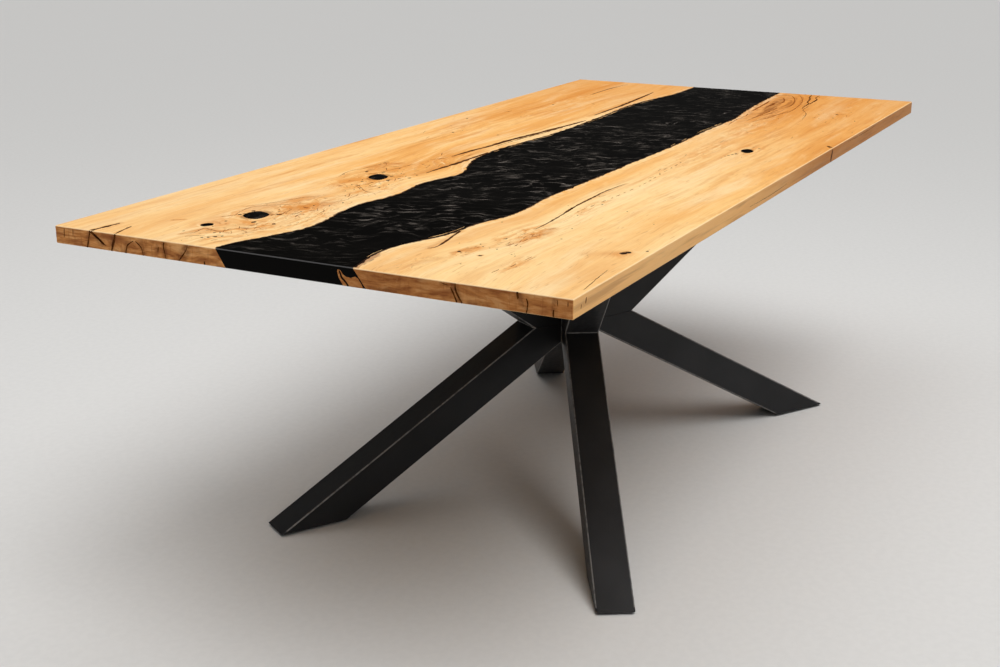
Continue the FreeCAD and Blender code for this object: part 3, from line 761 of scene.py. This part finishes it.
def zinc_material():
    net = Net("zinc_plated_steel")
    bloom = net.noise(net.spot, scale=160.0, detail=3.0)
    brush = net.drawn_noise((900.0, 900.0, 2600.0), detail=2.0)
    net.colour = net.ramp(bloom, (
        (0.3, tone(178, 180, 186)), (0.55, tone(200, 200, 198)), (0.75, tone(196, 188, 166)),
    ))
    rough = net.ease(brush, 0.3, 0.7, 0.26, 0.44)
    return net.finish(rough, net.bump(brush, 0.1, 0.0002), Metallic=1.0)


def brass_material():
    net = Net("insert_brass_plain")
    bloom = net.noise(net.spot, scale=220.0, detail=3.0)
    net.colour = net.mix(bloom, tone(206, 168, 96), tone(160, 118, 62))
    return net.finish(net.ease(bloom, 0.3, 0.7, 0.28, 0.46), Metallic=1.0)


def plastic_material():
    net = Net("glide_plastic_black")
    grit = net.noise(net.spot, scale=1400.0)
    scuff = net.drawn_noise((60.0, 240.0, 60.0))
    net.colour = net.mix(net.ease(scuff, 0.5, 0.8, 0.0, 0.6), tone(22, 22, 23), tone(58, 57, 55))
    return net.finish(net.ease(grit, 0.3, 0.7, 0.55, 0.72), net.bump(grit, 0.2, 0.0002))


# Fine-grained filler, stain or wood: the grain's scales, the band of its noise that runs from one tone
# to the other, the range of its roughness, and the tone that it takes where it lies in the river
def filler_material(name, scales, band, tones, roughs, specular, river_tone=None):
    net = Net(name)
    grain = net.drawn_noise(scales)
    net.colour = net.mix(net.ease(grain, *band), *tones)
    if river_tone is not None:
        off_middle = net.math("ABSOLUTE", net.split(net.spot)[1])
        net.tint(net.ease(off_middle, 0.115, 0.135, 1.0, 0.0), river_tone)
    rough = net.ease(grain, 0.3, 0.7, *roughs)
    return net.finish(rough, net.bump(grain, 0.1, 0.0003), Specular_IOR_Level=specular)


POWDER = powder_material("powder_coat_black")
RUBBED_HIGHLIGHT = rubbed_highlight_material()
ZINC = zinc_material()
FILL = filler_material(
    "crack_fill_dark", (190.0, 190.0, 190.0), (0.4, 0.75),
    (tone(24, 13, 7), tone(58, 31, 14)), (0.42, 0.56), 0.03,
)
CRACK = filler_material(
    "crack_fill_brown", (190.0, 190.0, 190.0), (0.38, 0.7),
    (tone(58, 27, 6), tone(104, 58, 16)), (0.42, 0.56), 0.03, river_tone=tone(20, 9, 4),
)
STAIN = filler_material(
    "crack_stain_brown", (260.0, 260.0, 260.0), (0.35, 0.7),
    (tone(160, 88, 26), tone(106, 54, 12)), (0.4, 0.52), 0.05,
)
SPLINTER = filler_material(
    "splinter_wood_pale", (60.0, 420.0, 420.0), (0.35, 0.7),
    (tone(242, 200, 140), tone(190, 128, 70)), (0.42, 0.54), 0.3,
)


# The solids' own materials
def dress(prefixes, material):
    for name in nodes:
        if name.startswith(prefixes):
            slots = nodes[name].data.materials
            slots.clear()
            slots.append(material)


dress("rear_slab", wood_material(REAR))
dress(("front_slab", "edge_curl"), wood_material(FRONT))
dress(("epoxy_river", "front_knot_fills", "rear_knot_fills"), resin_material())
dress("lower_leg", powder_material("powder_coat_legs", -LEG_SLOPE))
dress("upper_arm", powder_material("powder_coat_arms", ARM_SLOPE))
dress(("mounting_plate", "foot_plate", "stiffener_channel"), POWDER)
dress(("channel_bolts", "plate_bolts", "plate_washers", "foot_nuts", "leveller_stud"), ZINC)
dress(("plate_inserts", "channel_inserts"), brass_material())
dress("leveller_pad", plastic_material())


def add_object(name, data):
    made = bpy.data.objects.new(name, data)
    bpy.context.scene.collection.objects.link(made)
    return made


def new_piece(name, bm, material, body="table"):
    bmesh.ops.recalc_face_normals(bm, faces=bm.faces)
    mesh = bpy.data.meshes.new(name)
    bm.to_mesh(mesh)
    bm.free()
    mesh.materials.append(material)
    piece = add_object(name, mesh)
    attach(piece, body)
    return piece


# Joins rows of points into a closed skin with a face at each end
def close_rows(bm, rows):
    count = len(rows[0])
    for row, after in zip(rows, rows[1:]):
        for k in range(count):
            n = (k + 1) % count
            bm.faces.new((row[k], row[n], after[n], after[k]))
    bm.faces.new(list(reversed(rows[0])))
    bm.faces.new(rows[-1])


# Faces that cracks lie in: two places in the face and a height above it give a point
def on_top(u, v, height):
    return Vector((u, v, TOP + height))


def on_left_end(u, v, height):
    return Vector((-HALF_LENGTH - height, u, v))


def on_right_end(u, v, height):
    return Vector((HALF_LENGTH + height, u, v))


def on_front_side(u, v, height):
    return Vector((u, -HALF_WIDTH - height, v))


# One coordinate of a smooth curve from b to c, with a before and d after them
def on_curve(a, b, c, d, t):
    bend = 2 * a - 5 * b + 4 * c - d
    twist = 3 * b - a - 3 * c + d
    return 0.5 * (2 * b + (c - a) * t + bend * t * t + twist * t ** 3)


def smooth_line(points, step):
    padded = [points[0], *points, points[-1]]
    line = []
    for before, start, end, after in zip(padded, padded[1:], padded[2:], padded[3:]):
        count = max(2, int(math.dist(start, end) / step))
        for k in range(count):
            line.append(tuple(on_curve(*places, k / count) for places in zip(before, start, end, after)))
    line.append(tuple(points[-1]))
    return line


# Four points across a strip that is set into a face
def strip_row(bm, face, left, right):
    corners = ((left, -SUNK), (left, PROUD), (right, PROUD), (right, -SUNK))
    return [bm.verts.new(face(place[0], place[1], height)) for place, height in corners]


# Share of a crack's width at t along it: full in the middle, down to the given shares at its ends
def crack_share(t, start_share, end_share):
    belly = math.sin(math.pi * t) ** 0.6
    share = belly + (1 - belly) * (start_share * (1 - t) + end_share * t)
    if t < 0.5:
        return max(share, start_share * (1 - 2 * t))
    return max(share, end_share * (2 * t - 1))


# A filled crack: a thin closed strip with ragged edges that narrows to its ends
LEAST_HALF_CRACK = 0.00012
WOBBLE_SCALE = 140
RAGGED_SCALE = 55
RAGGED_SHIFT = 5
RAGGED_SHARE = 0.7


def add_crack(bm, face, points, width, ends=(0.15, 0.15), shake=0.0008, step=0.0035, seed=0.0):
    line = smooth_line(points, step)
    last = len(line) - 1
    rows = []
    for k, (u, v) in enumerate(line):
        before = line[max(k - 1, 0)]
        after = line[min(k + 1, last)]
        run = Vector((after[0] - before[0], after[1] - before[1])).normalized()
        normal = Vector((-run.y, run.x))
        wobble = field.noise(Vector((u * WOBBLE_SCALE, v * WOBBLE_SCALE, seed)))
        ragged = field.noise(Vector((u * RAGGED_SCALE, v * RAGGED_SCALE, seed + RAGGED_SHIFT)))
        half = width / 2 * crack_share(k / last, *ends) * (1 + RAGGED_SHARE * ragged)
        half = max(half, LEAST_HALF_CRACK)
        centre = Vector((u, v)) + normal * (shake * wobble)
        rows.append(strip_row(bm, face, centre + normal * half, centre - normal * half))
    close_rows(bm, rows)


# A filled speck: a low lens with an uneven outline
SPECK_SIDES = 10


def add_speck(bm, face, u, v, half_length, half_width, turn, rng):
    low = []
    high = []
    for k in range(SPECK_SIDES):
        angle = 2 * math.pi * k / SPECK_SIDES
        reach = rng.uniform(0.72, 1.18)
        a = math.cos(angle) * half_length * reach
        b = math.sin(angle) * half_width * reach
        du = a * math.cos(turn) - b * math.sin(turn)
        dv = a * math.sin(turn) + b * math.cos(turn)
        low.append(bm.verts.new(face(u + du, v + dv, -SUNK)))
        high.append(bm.verts.new(face(u + du * 0.97, v + dv * 0.97, PROUD * 0.6)))
    crown = bm.verts.new(face(u, v, PROUD * 1.2))
    bottom = bm.verts.new(face(u, v, -SUNK))
    for k in range(SPECK_SIDES):
        n = (k + 1) % SPECK_SIDES
        bm.faces.new((low[k], low[n], high[n], high[k]))
        bm.faces.new((high[k], high[n], crown))
        bm.faces.new((low[n], low[k], bottom))


# Cracks on the top: points, width, share of the width left at the start and at the end
REAR_CRACKS = [
    ([(-1.0985, 0.4165), (-1.072, 0.4135), (-1.034, 0.41)], 0.0068, 1.0, 0.1),
    ([(-1.0985, 0.362), (-1.07, 0.37), (-1.042, 0.376)], 0.0034, 1.0, 0.1),
    ([(-0.39, 0.165), (-0.329, 0.164), (-0.277, 0.161), (-0.215, 0.1615), (-0.125, 0.163)],
     0.0094, 0.1, 0.3),
    ([(-0.205, 0.21), (-0.127, 0.2062), (-0.06, 0.1985), (0.025, 0.1945), (0.091, 0.187), (0.154, 0.1785),
      (0.248, 0.169), (0.3025, 0.1625), (0.385, 0.156)], 0.0118, 0.1, 0.2),
    ([(-0.05, 0.184), (0.06, 0.179), (0.16, 0.168), (0.26, 0.159)], 0.0034, 0.1, 0.1),
    ([(0.47, 0.172), (0.583, 0.1745), (0.664, 0.1763), (0.826, 0.187), (0.94, 0.196)], 0.0084, 0.1, 0.1),
    ([(0.804, 0.3342), (0.957, 0.336), (1.06, 0.3259)], 0.0032, 0.1, 0.1),
]
FRONT_CRACKS = [
    ([(-0.937, -0.16), (-0.928, -0.169), (-0.891, -0.1652), (-0.852, -0.1575), (-0.806, -0.149)],
     0.0046, 0.2, 1.0),
    ([(-0.7336, -0.2579), (-0.6914, -0.2566), (-0.623, -0.2513), (-0.534, -0.2417), (-0.4559, -0.239),
      (-0.3842, -0.2366), (-0.305, -0.243)], 0.0044, 0.1, 0.1),
    ([(-1.048, -0.492), (-1.0016, -0.4862), (-0.9653, -0.4816), (-0.9272, -0.4782)], 0.0015, 0.2, 0.1),
    ([(1.09, -0.2222), (1.04, -0.23), (1.02, -0.238), (0.986, -0.2446), (0.95, -0.25), (0.935, -0.259),
      (0.903, -0.2628), (0.86, -0.2655), (0.827, -0.2714)], 0.0042, 0.6, 0.1),
    ([(1.086, -0.2443), (1.04, -0.2475), (1.02, -0.2575), (0.986, -0.2613), (0.95, -0.2625),
      (0.917, -0.2657)], 0.0042, 0.3, 0.1),
    ([(0.905, -0.268), (0.86, -0.2745), (0.811, -0.2787), (0.748, -0.3052), (0.647, -0.3241)],
     0.0016, 0.2, 0.1),
    ([(0.2895, -0.4952), (0.2974, -0.4905), (0.3075, -0.4826)], 0.0084, 1.0, 0.2),
]
# Upright cracks on the ends and the long side: place along the face and height in the face
LEFT_END_CRACKS = [
    ([(0.419, 0.749), (0.422, 0.738), (0.428, 0.7185)], 0.0034, 0.9, 0.4),
    ([(0.417, 0.7475), (0.402, 0.738), (0.388, 0.728)], 0.0046, 1.0, 0.2),
    ([(0.409, 0.743), (0.398, 0.734), (0.384, 0.7265)], 0.0022, 0.5, 0.1),
    ([(0.362, 0.749), (0.366, 0.737), (0.373, 0.7185)], 0.0044, 0.9, 0.3),
    ([(0.322, 0.742), (0.336, 0.733), (0.341, 0.7185)], 0.0026, 0.2, 0.7),
    ([(0.318, 0.742), (0.306, 0.732), (0.303, 0.7185)], 0.0016, 0.2, 0.5),
    ([(0.255, 0.747), (0.257, 0.738), (0.253, 0.719)], 0.0026, 0.8, 0.3),
    ([(0.268, 0.738), (0.27, 0.729)], 0.0022, 0.3, 0.3),
    ([(0.205, 0.748), (0.211, 0.736), (0.226, 0.719)], 0.0026, 0.8, 0.2),
    ([(0.458, 0.747), (0.459, 0.736)], 0.002, 0.5, 0.2),
    ([(0.478, 0.747), (0.48, 0.73)], 0.0014, 0.4, 0.2),
    ([(0.172, 0.725), (0.171, 0.719)], 0.0022, 0.2, 0.8),
    ([(-0.304, 0.7485), (-0.306, 0.736), (-0.316, 0.719)], 0.0026, 0.7, 0.9),
    ([(-0.296, 0.742), (-0.302, 0.731), (-0.307, 0.719)], 0.0028, 0.2, 0.9),
    ([(-0.409, 0.749), (-0.41, 0.738)], 0.003, 0.9, 0.2),
    ([(-0.424, 0.741), (-0.4265, 0.732), (-0.424, 0.719)], 0.003, 0.3, 0.8),
    ([(-0.474, 0.746), (-0.475, 0.736)], 0.002, 0.6, 0.2),
    ([(-0.468, 0.73), (-0.468, 0.719)], 0.0024, 0.2, 0.9),
    ([(-0.491, 0.745), (-0.491, 0.737)], 0.0014, 0.5, 0.2),
    ([(-0.28, 0.746), (-0.292, 0.744)], 0.0012, 0.3, 0.3),
    ([(-0.0955, 0.743), (-0.0982, 0.7363), (-0.1017, 0.7302), (-0.1071, 0.7255), (-0.1105, 0.7208),
      (-0.112, 0.7188)], 0.0032, 0.4, 0.8),
]
RIGHT_END_CRACKS = [
    ([(0.383, 0.749), (0.38, 0.735), (0.372, 0.719)], 0.0036, 0.9, 0.3),
    ([(0.241, 0.749), (0.246, 0.737), (0.243, 0.722)], 0.0026, 0.8, 0.2),
    ([(-0.214, 0.749), (-0.221, 0.736), (-0.218, 0.719)], 0.0034, 0.9, 0.4),
    ([(-0.332, 0.74), (-0.336, 0.73), (-0.331, 0.719)], 0.0024, 0.2, 0.8),
    ([(-0.446, 0.749), (-0.448, 0.738)], 0.002, 0.8, 0.1),
]
FRONT_SIDE_CRACKS = [
    ([(0.2858, 0.7462), (0.2872, 0.7408), (0.28, 0.7286), (0.28, 0.719)], 0.011, 0.9, 0.4),
    ([(-1.055, 0.742), (-1.058, 0.733)], 0.0026, 0.3, 0.3),
    ([(-1.073, 0.736), (-1.074, 0.729)], 0.0014, 0.3, 0.3),
    ([(0.42, 0.744), (0.56, 0.742), (0.69, 0.7435)], 0.001, 0.2, 0.2),
    ([(-0.3, 0.729), (-0.18, 0.7275), (-0.06, 0.73)], 0.0008, 0.2, 0.2),
]
SHORT_CRACK = 0.08


def crack_piece(name, face, cracks):
    bm = bmesh.new()
    for order, (points, width, start, end) in enumerate(cracks):
        length = sum(math.dist(a, b) for a, b in zip(points, points[1:]))
        short = length < SHORT_CRACK
        shake = 0.0005 if short else 0.0009
        step = 0.0022 if short else 0.006
        add_crack(bm, face, points, width, (start, end), shake, step, seed=order * 3.1)
    new_piece("crack_fills_" + name, bm, CRACK)


crack_piece("rear", on_top, REAR_CRACKS)
crack_piece("front", on_top, FRONT_CRACKS)
crack_piece("left_end", on_left_end, LEFT_END_CRACKS)
crack_piece("right_end", on_right_end, RIGHT_END_CRACKS)
crack_piece("front_side", on_front_side, FRONT_SIDE_CRACKS)

# Least distance of a line or speck from the slab's edges
EDGE_MARGIN = 0.006


def on_slab(u, v, slab):
    off_river = (v - along_edge(slab.edge, u)) * slab.side > EDGE_MARGIN
    return off_river and abs(u) < HALF_LENGTH - EDGE_MARGIN and abs(v) < HALF_WIDTH - EDGE_MARGIN


# Fine brown lines of old growth: scattered ones, then the curves and the lines of dashes
def add_scattered_lines(bm, slab, rng):
    for (middle_x, middle_y), (reach_x, reach_y), count, length, width in slab.lines:
        for number in range(count):
            u = middle_x + rng.uniform(-reach_x, reach_x)
            v = middle_y + rng.uniform(-reach_y, reach_y)
            turn = rng.gauss(0.0, slab.wander)
            points = [(u, v)]
            for leg in range(3):
                turn += rng.gauss(0.0, slab.wander)
                hop = length * rng.uniform(0.15, 0.45)
                u += hop * math.cos(turn)
                v += hop * math.sin(turn)
                points.append((u, v))
            thick = width * rng.uniform(0.6, 1.3)
            if all(on_slab(*point, slab) for point in points):
                add_crack(bm, on_top, points, thick, seed=number * 1.7)


def add_dashes(bm, points, width, rng):
    line = smooth_line(points, 0.003)
    at = 0
    while at < len(line) - 4:
        count = rng.randint(4, 9)
        dash = line[at:at + count]
        if len(dash) > 3:
            add_crack(bm, on_top, dash[::3], width * rng.uniform(0.6, 1.3), step=0.003, seed=at * 0.3)
        at += count + rng.randint(2, 6)


def line_piece(slab):
    bm = bmesh.new()
    rng = random.Random(slab.line_seed)
    add_scattered_lines(bm, slab, rng)
    for order, (points, width) in enumerate(slab.curves):
        add_crack(bm, on_top, points, width, shake=0.0016, seed=order * 2.3)
    for points, width in slab.dashes:
        add_dashes(bm, points, width, rng)
    new_piece("growth_lines_" + slab.name, bm, STAIN)


# Filled specks: those listed one by one, then a scatter round the knots
def speck_piece(slab):
    bm = bmesh.new()
    rng = random.Random(slab.speck_seed)
    for u, v, half in slab.specks:
        add_speck(bm, on_top, u, v, half * rng.uniform(1.0, 1.5), half, rng.uniform(-0.9, 0.4), rng)
    for middle_x, middle_y, reach, count in slab.scatter:
        for number in range(count):
            u = middle_x + rng.gauss(0.0, reach)
            v = middle_y + rng.gauss(0.0, reach * 0.45)
            half = rng.uniform(0.0007, 0.0019)
            long = half * rng.uniform(1.0, 2.2)
            turn = rng.uniform(-0.8, 0.8)
            if on_slab(u, v, slab):
                add_speck(bm, on_top, u, v, long, half, turn, rng)
    new_piece("filled_specks_" + slab.name, bm, FILL)


# Ragged fringe of resin along a live edge, where the bark came away
FRINGE_STEPS = 560
FRINGE_REACH = HALF_LENGTH - 0.004
FRINGE_LAP = 0.0015
FRINGE_WIDTH = 0.002
FRINGE_LEAST = 0.0002
# Waves of its width: scale along the edge, place in the noise, height
FRINGE_WAVES = ((9.0, 0.0, 0.0034), (55.0, 3.0, 0.005), (170.0, 7.0, 0.0024))


def fringe_piece(slab):
    bm = bmesh.new()
    rows = []
    for k in range(FRINGE_STEPS + 1):
        x = -FRINGE_REACH + 2 * FRINGE_REACH * k / FRINGE_STEPS
        y = along_edge(slab.edge, x)
        width = FRINGE_WIDTH
        for scale, place, height in FRINGE_WAVES:
            width += height * field.noise(Vector((x * scale, slab.fringe_seed, place)))
        inner = (x, y - slab.side * FRINGE_LAP)
        outer = (x, y + slab.side * max(FRINGE_LEAST, width))
        rows.append(strip_row(bm, on_top, inner, outer))
    close_rows(bm, rows)
    new_piece("edge_fringe_" + slab.name, bm, FILL)


# Pale slivers of wood that stand off from a live edge
def splinter_piece(slab):
    bm = bmesh.new()
    rng = random.Random(slab.splinter_seed)
    for (first, last), count in slab.splinters:
        for number in range(count):
            start = rng.uniform(first, last)
            length = rng.uniform(0.018, 0.075)
            gap = rng.uniform(0.003, 0.0056)
            slant = rng.uniform(-0.001, 0.003)
            width = rng.uniform(0.0008, 0.0019)
            points = []
            for k in range(4):
                u = start + length * k / 3
                points.append((u, along_edge(slab.edge, u) - slab.side * (gap + slant * k / 3)))
            add_crack(bm, on_top, points, width, (0.05, 0.05), shake=0.0006, step=0.003, seed=number * 1.1)
    new_piece("edge_splinters_" + slab.name, bm, SPLINTER)


for make_piece in (line_piece, speck_piece, fringe_piece, splinter_piece):
    for slab in SLABS:
        make_piece(slab)

# A weld bead: a low rippled round along a line of points
BEAD_SIDES = 10


def add_bead(bm, points, radius, pitch):
    line = [Vector(point) for point in smooth_line(points, pitch / 3)]
    last = len(line) - 1
    rows = []
    for k, spot in enumerate(line):
        run = (line[min(k + 1, last)] - line[max(k - 1, 0)]).normalized()
        across = run.orthogonal().normalized()
        over = run.cross(across)
        size = radius * (1.0 + 0.1 * math.sin(2 * math.pi * k / 3.0))
        if k in (0, last):
            size *= 0.55
        row = []
        for n in range(BEAD_SIDES):
            angle = 2 * math.pi * n / BEAD_SIDES
            row.append(bm.verts.new(spot + (across * math.cos(angle) + over * math.sin(angle)) * size))
        rows.append(row)
    close_rows(bm, rows)


# A point by its distance out along a leg, its offset to the side and its height
def from_leg(corner, radius, offset, height):
    side_x, side_y = CORNERS[corner]
    x = radius * math.cos(PLAN_ANGLE) - offset * math.sin(PLAN_ANGLE)
    y = radius * math.sin(PLAN_ANGLE) + offset * math.cos(PLAN_ANGLE)
    return (side_x * x, side_y * y, height)


# Distances out along a leg: the arm's upper end, and where neighbouring tubes meet over each axis
ARM_OUTER = WAIST_RADIUS + (ARM_TOP - WAIST_HEIGHT) / math.tan(ARM_SLOPE)
ARM_INNER = ARM_OUTER - TUBE / math.sin(ARM_SLOPE)
MEET_ON_X = HALF_TUBE / math.tan(PLAN_ANGLE)
MEET_ON_Y = HALF_TUBE * math.tan(PLAN_ANGLE)
MITRE_TILT = (ARM_SLOPE - LEG_SLOPE) / 2
RIM_HEIGHT = ARM_TOP - 0.0012
RIM_CLEAR = 0.006
SEAM_CLEAR = 0.004
# Beads: radius, and length of a ripple
MITRE_BEAD = (0.0009, 0.0036)
RIM_BEAD = (0.0026, 0.006)
SEAM_BEAD = (0.0016, 0.0044)
KNEE_BEAD = (0.0013, 0.0036)


def weld_piece(corner):
    bm = bmesh.new()

    def mitre_point(radius, offset):
        height = WAIST_HEIGHT - (WAIST_RADIUS - radius) * math.tan(MITRE_TILT)
        return from_leg(corner, radius, offset, height)

    def rim_point(radius, offset):
        return from_leg(corner, radius, offset, RIM_HEIGHT)

    # Along the mitre on both sides of the knee
    outer = WAIST_RADIUS - TUBE_ROUND * 1.4
    for offset, inner in ((-HALF_TUBE, MEET_ON_X), (HALF_TUBE, MEET_ON_Y)):
        add_bead(bm, [mitre_point(outer, offset), mitre_point(inner, offset)], *MITRE_BEAD)
    # Round the arm's upper end, where it meets the mounting plate
    for offset in (-HALF_TUBE, HALF_TUBE):
        side = [rim_point(ARM_INNER + RIM_CLEAR, offset), rim_point(ARM_OUTER - RIM_CLEAR, offset)]
        add_bead(bm, side, *RIM_BEAD)
    for radius in (ARM_INNER, ARM_OUTER):
        add_bead(bm, [rim_point(radius, -TUBE_FLAT), rim_point(radius, TUBE_FLAT)], *RIM_BEAD)
    new_piece("weld_beads_" + corner, bm, POWDER)


for corner in CORNERS:
    weld_piece(corner)


# Upright seams where two legs and two arms meet, and the seam across each knee
def seam_piece():
    bm = bmesh.new()
    for radius, axis in ((MEET_ON_X, (1, 0)), (MEET_ON_Y, (0, 1))):
        inward = WAIST_RADIUS - radius
        low = WAIST_HEIGHT + inward * math.tan(LEG_SLOPE) - TUBE / math.cos(LEG_SLOPE) + SEAM_CLEAR
        high = WAIST_HEIGHT - inward * math.tan(ARM_SLOPE) + TUBE / math.cos(ARM_SLOPE) - SEAM_CLEAR
        for sign in (-1, 1):
            reach = sign * math.hypot(radius, HALF_TUBE)
            x = axis[0] * reach
            y = axis[1] * reach
            add_bead(bm, [(x, y, low), (x, y, high)], *SEAM_BEAD)
    for corner in CORNERS:
        knee = [from_leg(corner, WAIST_RADIUS, offset, WAIST_HEIGHT) for offset in (-TUBE_FLAT, TUBE_FLAT)]
        add_bead(bm, knee, *KNEE_BEAD)
    # The seams take the pale coat: a painted highlight along each weld ridge, with some rubbed wear
    new_piece("weld_seams", bm, RUBBED_HIGHLIGHT)


seam_piece()

# Levelling stud: its thread's crest, root and pitch, its flange, and rings for each turn
STUD_CREST = 0.00492
STUD_ROOT = 0.0042
STUD_PITCH = 0.0015
STUD_FLANGE = 0.0025
STUD_SIDES = 24
TURN_STEPS = 4
# Rounds at its foot and its other edges, where its thread starts, and the length without thread
STUD_FOOT = 0.0006
STUD_EASE = 0.0005
STUD_TIP = 0.0008
THREAD_START = 0.001
THREAD_CLEAR = 0.0016


def thread_radius(turns):
    wave = 1 - abs(2 * (turns % 1.0) - 1)
    return STUD_ROOT + (STUD_CREST - STUD_ROOT) * min(1.0, max(0.0, wave * 1.5 - 0.25))


# A rolled thread on a flange that sits in the pad
def stud_piece(corner):
    node = "leveller_stud_" + corner
    low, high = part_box(node)
    centre = (low + high) / 2
    flange = (high.x - low.x) / 2
    base = low.z + STUD_FLANGE
    bm = bmesh.new()
    rows = []

    def ring(height, radii):
        row = []
        for n, radius in enumerate(radii):
            angle = 2 * math.pi * n / STUD_SIDES
            x = centre.x + radius * math.cos(angle)
            y = centre.y + radius * math.sin(angle)
            row.append(bm.verts.new((x, y, height)))
        rows.append(row)

    def round_ring(radius, height):
        ring(height, [radius] * STUD_SIDES)

    round_ring(flange - STUD_FOOT, low.z)
    round_ring(flange, low.z + STUD_FOOT)
    round_ring(flange, base - STUD_EASE)
    round_ring(flange - STUD_EASE, base)
    round_ring(STUD_CREST + STUD_EASE, base)
    round_ring(STUD_ROOT, base + STUD_FOOT)
    rise = STUD_PITCH / TURN_STEPS
    for k in range(int((high.z - base - THREAD_CLEAR) / rise)):
        radii = [thread_radius(k / TURN_STEPS + n / STUD_SIDES) for n in range(STUD_SIDES)]
        ring(base + THREAD_START + k * rise, radii)
    round_ring(STUD_ROOT, high.z - STUD_EASE)
    round_ring(STUD_ROOT - STUD_TIP, high.z)
    close_rows(bm, rows)
    piece = new_piece("threaded_stud_" + corner, bm, ZINC, body="leveller_" + corner)
    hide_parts(node)


for corner in CORNERS:
    stud_piece(corner)


# Small rounds on the hardware's edges, so that they catch the light
def ease_edges(prefixes, width):
    for name in nodes:
        if name.startswith(prefixes):
            bevel = nodes[name].modifiers.new("eased", "BEVEL")
            bevel.width = width
            bevel.segments = 2
            bevel.limit_method = "ANGLE"
            bevel.angle_limit = math.radians(40.0)


ease_edges(("mounting_plate", "stiffener_channel"), 0.0007)
ease_edges(("channel_bolts", "plate_bolts", "plate_washers", "foot_nuts"), 0.0004)


def aim(made, direction):
    made.rotation_euler = Vector(direction).to_track_quat("-Z", "Y").to_euler()


# Camera at the photograph's angle
CAMERA_YAW = math.radians(27.753)
CAMERA_PITCH = math.radians(17.55)
camera_data = bpy.data.cameras.new("camera")
camera_data.lens = 51.2
camera_data.sensor_width = 36.0
camera_data.clip_end = 200.0
camera = add_object("camera", camera_data)
camera.location = (-2.8871, -1.3207, 1.3196)
level = math.cos(CAMERA_PITCH)
aim(camera, (math.cos(CAMERA_YAW) * level, math.sin(CAMERA_YAW) * level, -math.sin(CAMERA_PITCH)))
bpy.context.scene.camera = camera


# Soft studio light from above and from the front, in a dim room
def area_lamp(name, place, target, size, power):
    data = bpy.data.lights.new(name, "AREA")
    data.shape = "RECTANGLE"
    data.size, data.size_y = size
    data.energy = power
    made = add_object(name, data)
    made.location = place
    aim(made, Vector(target) - Vector(place))


def distant_lamp(name, direction, spread, power):
    data = bpy.data.lights.new(name, "SUN")
    data.energy = power
    data.angle = math.radians(spread)
    aim(add_object(name, data), direction)


area_lamp("lamp_over", (0.3, 0.2, 3.4), (0.0, 0.0, 0.7), (3.6, 2.6), 34.0)
distant_lamp("lamp_high", (0.28, 0.5, -1.0), 42.0, 1.7)
distant_lamp("lamp_low", (0.62, 0.7, -0.36), 50.0, 0.42)


# The room: dim round about, bright overhead
def add_room():
    world = bpy.data.worlds.new("room")
    bpy.context.scene.world = world
    world.use_nodes = True
    tree = world.node_tree
    tree.nodes.clear()
    coordinates = tree.nodes.new("ShaderNodeTexCoord")
    parts = tree.nodes.new("ShaderNodeSeparateXYZ")
    shade = tree.nodes.new("ShaderNodeValToRGB")
    backdrop = tree.nodes.new("ShaderNodeBackground")
    output = tree.nodes.new("ShaderNodeOutputWorld")
    for element, place, grey in zip(shade.color_ramp.elements, (0.48, 1.0), (0.025, 0.85)):
        element.position = place
        element.color = (grey, grey, grey, 1.0)
    tree.links.new(coordinates.outputs["Generated"], parts.inputs[0])
    tree.links.new(parts.outputs[2], shade.inputs[0])
    tree.links.new(shade.outputs[0], backdrop.inputs[0])
    tree.links.new(backdrop.outputs[0], output.inputs[0])


add_room()


# Plain pale floor
def floor_material():
    net = Net("floor_pale")
    grain = net.noise(net.spot, scale=60.0, detail=4.0)
    net.colour = net.mix(net.ease(grain, 0.3, 0.7), tone(211, 210, 208), tone(214, 213, 211))
    return net.finish(0.75)


FLOOR_REACH = 25.0
floor_mesh = bpy.data.meshes.new("floor")
floor_corners = [(x * FLOOR_REACH, y * FLOOR_REACH, 0) for x, y in ((-1, -1), (1, -1), (1, 1), (-1, 1))]
floor_mesh.from_pydata(floor_corners, [], [(0, 1, 2, 3)])
floor_mesh.materials.append(floor_material())
floor = add_object("floor", floor_mesh)

bpy.context.scene.view_settings.view_transform = "Standard"
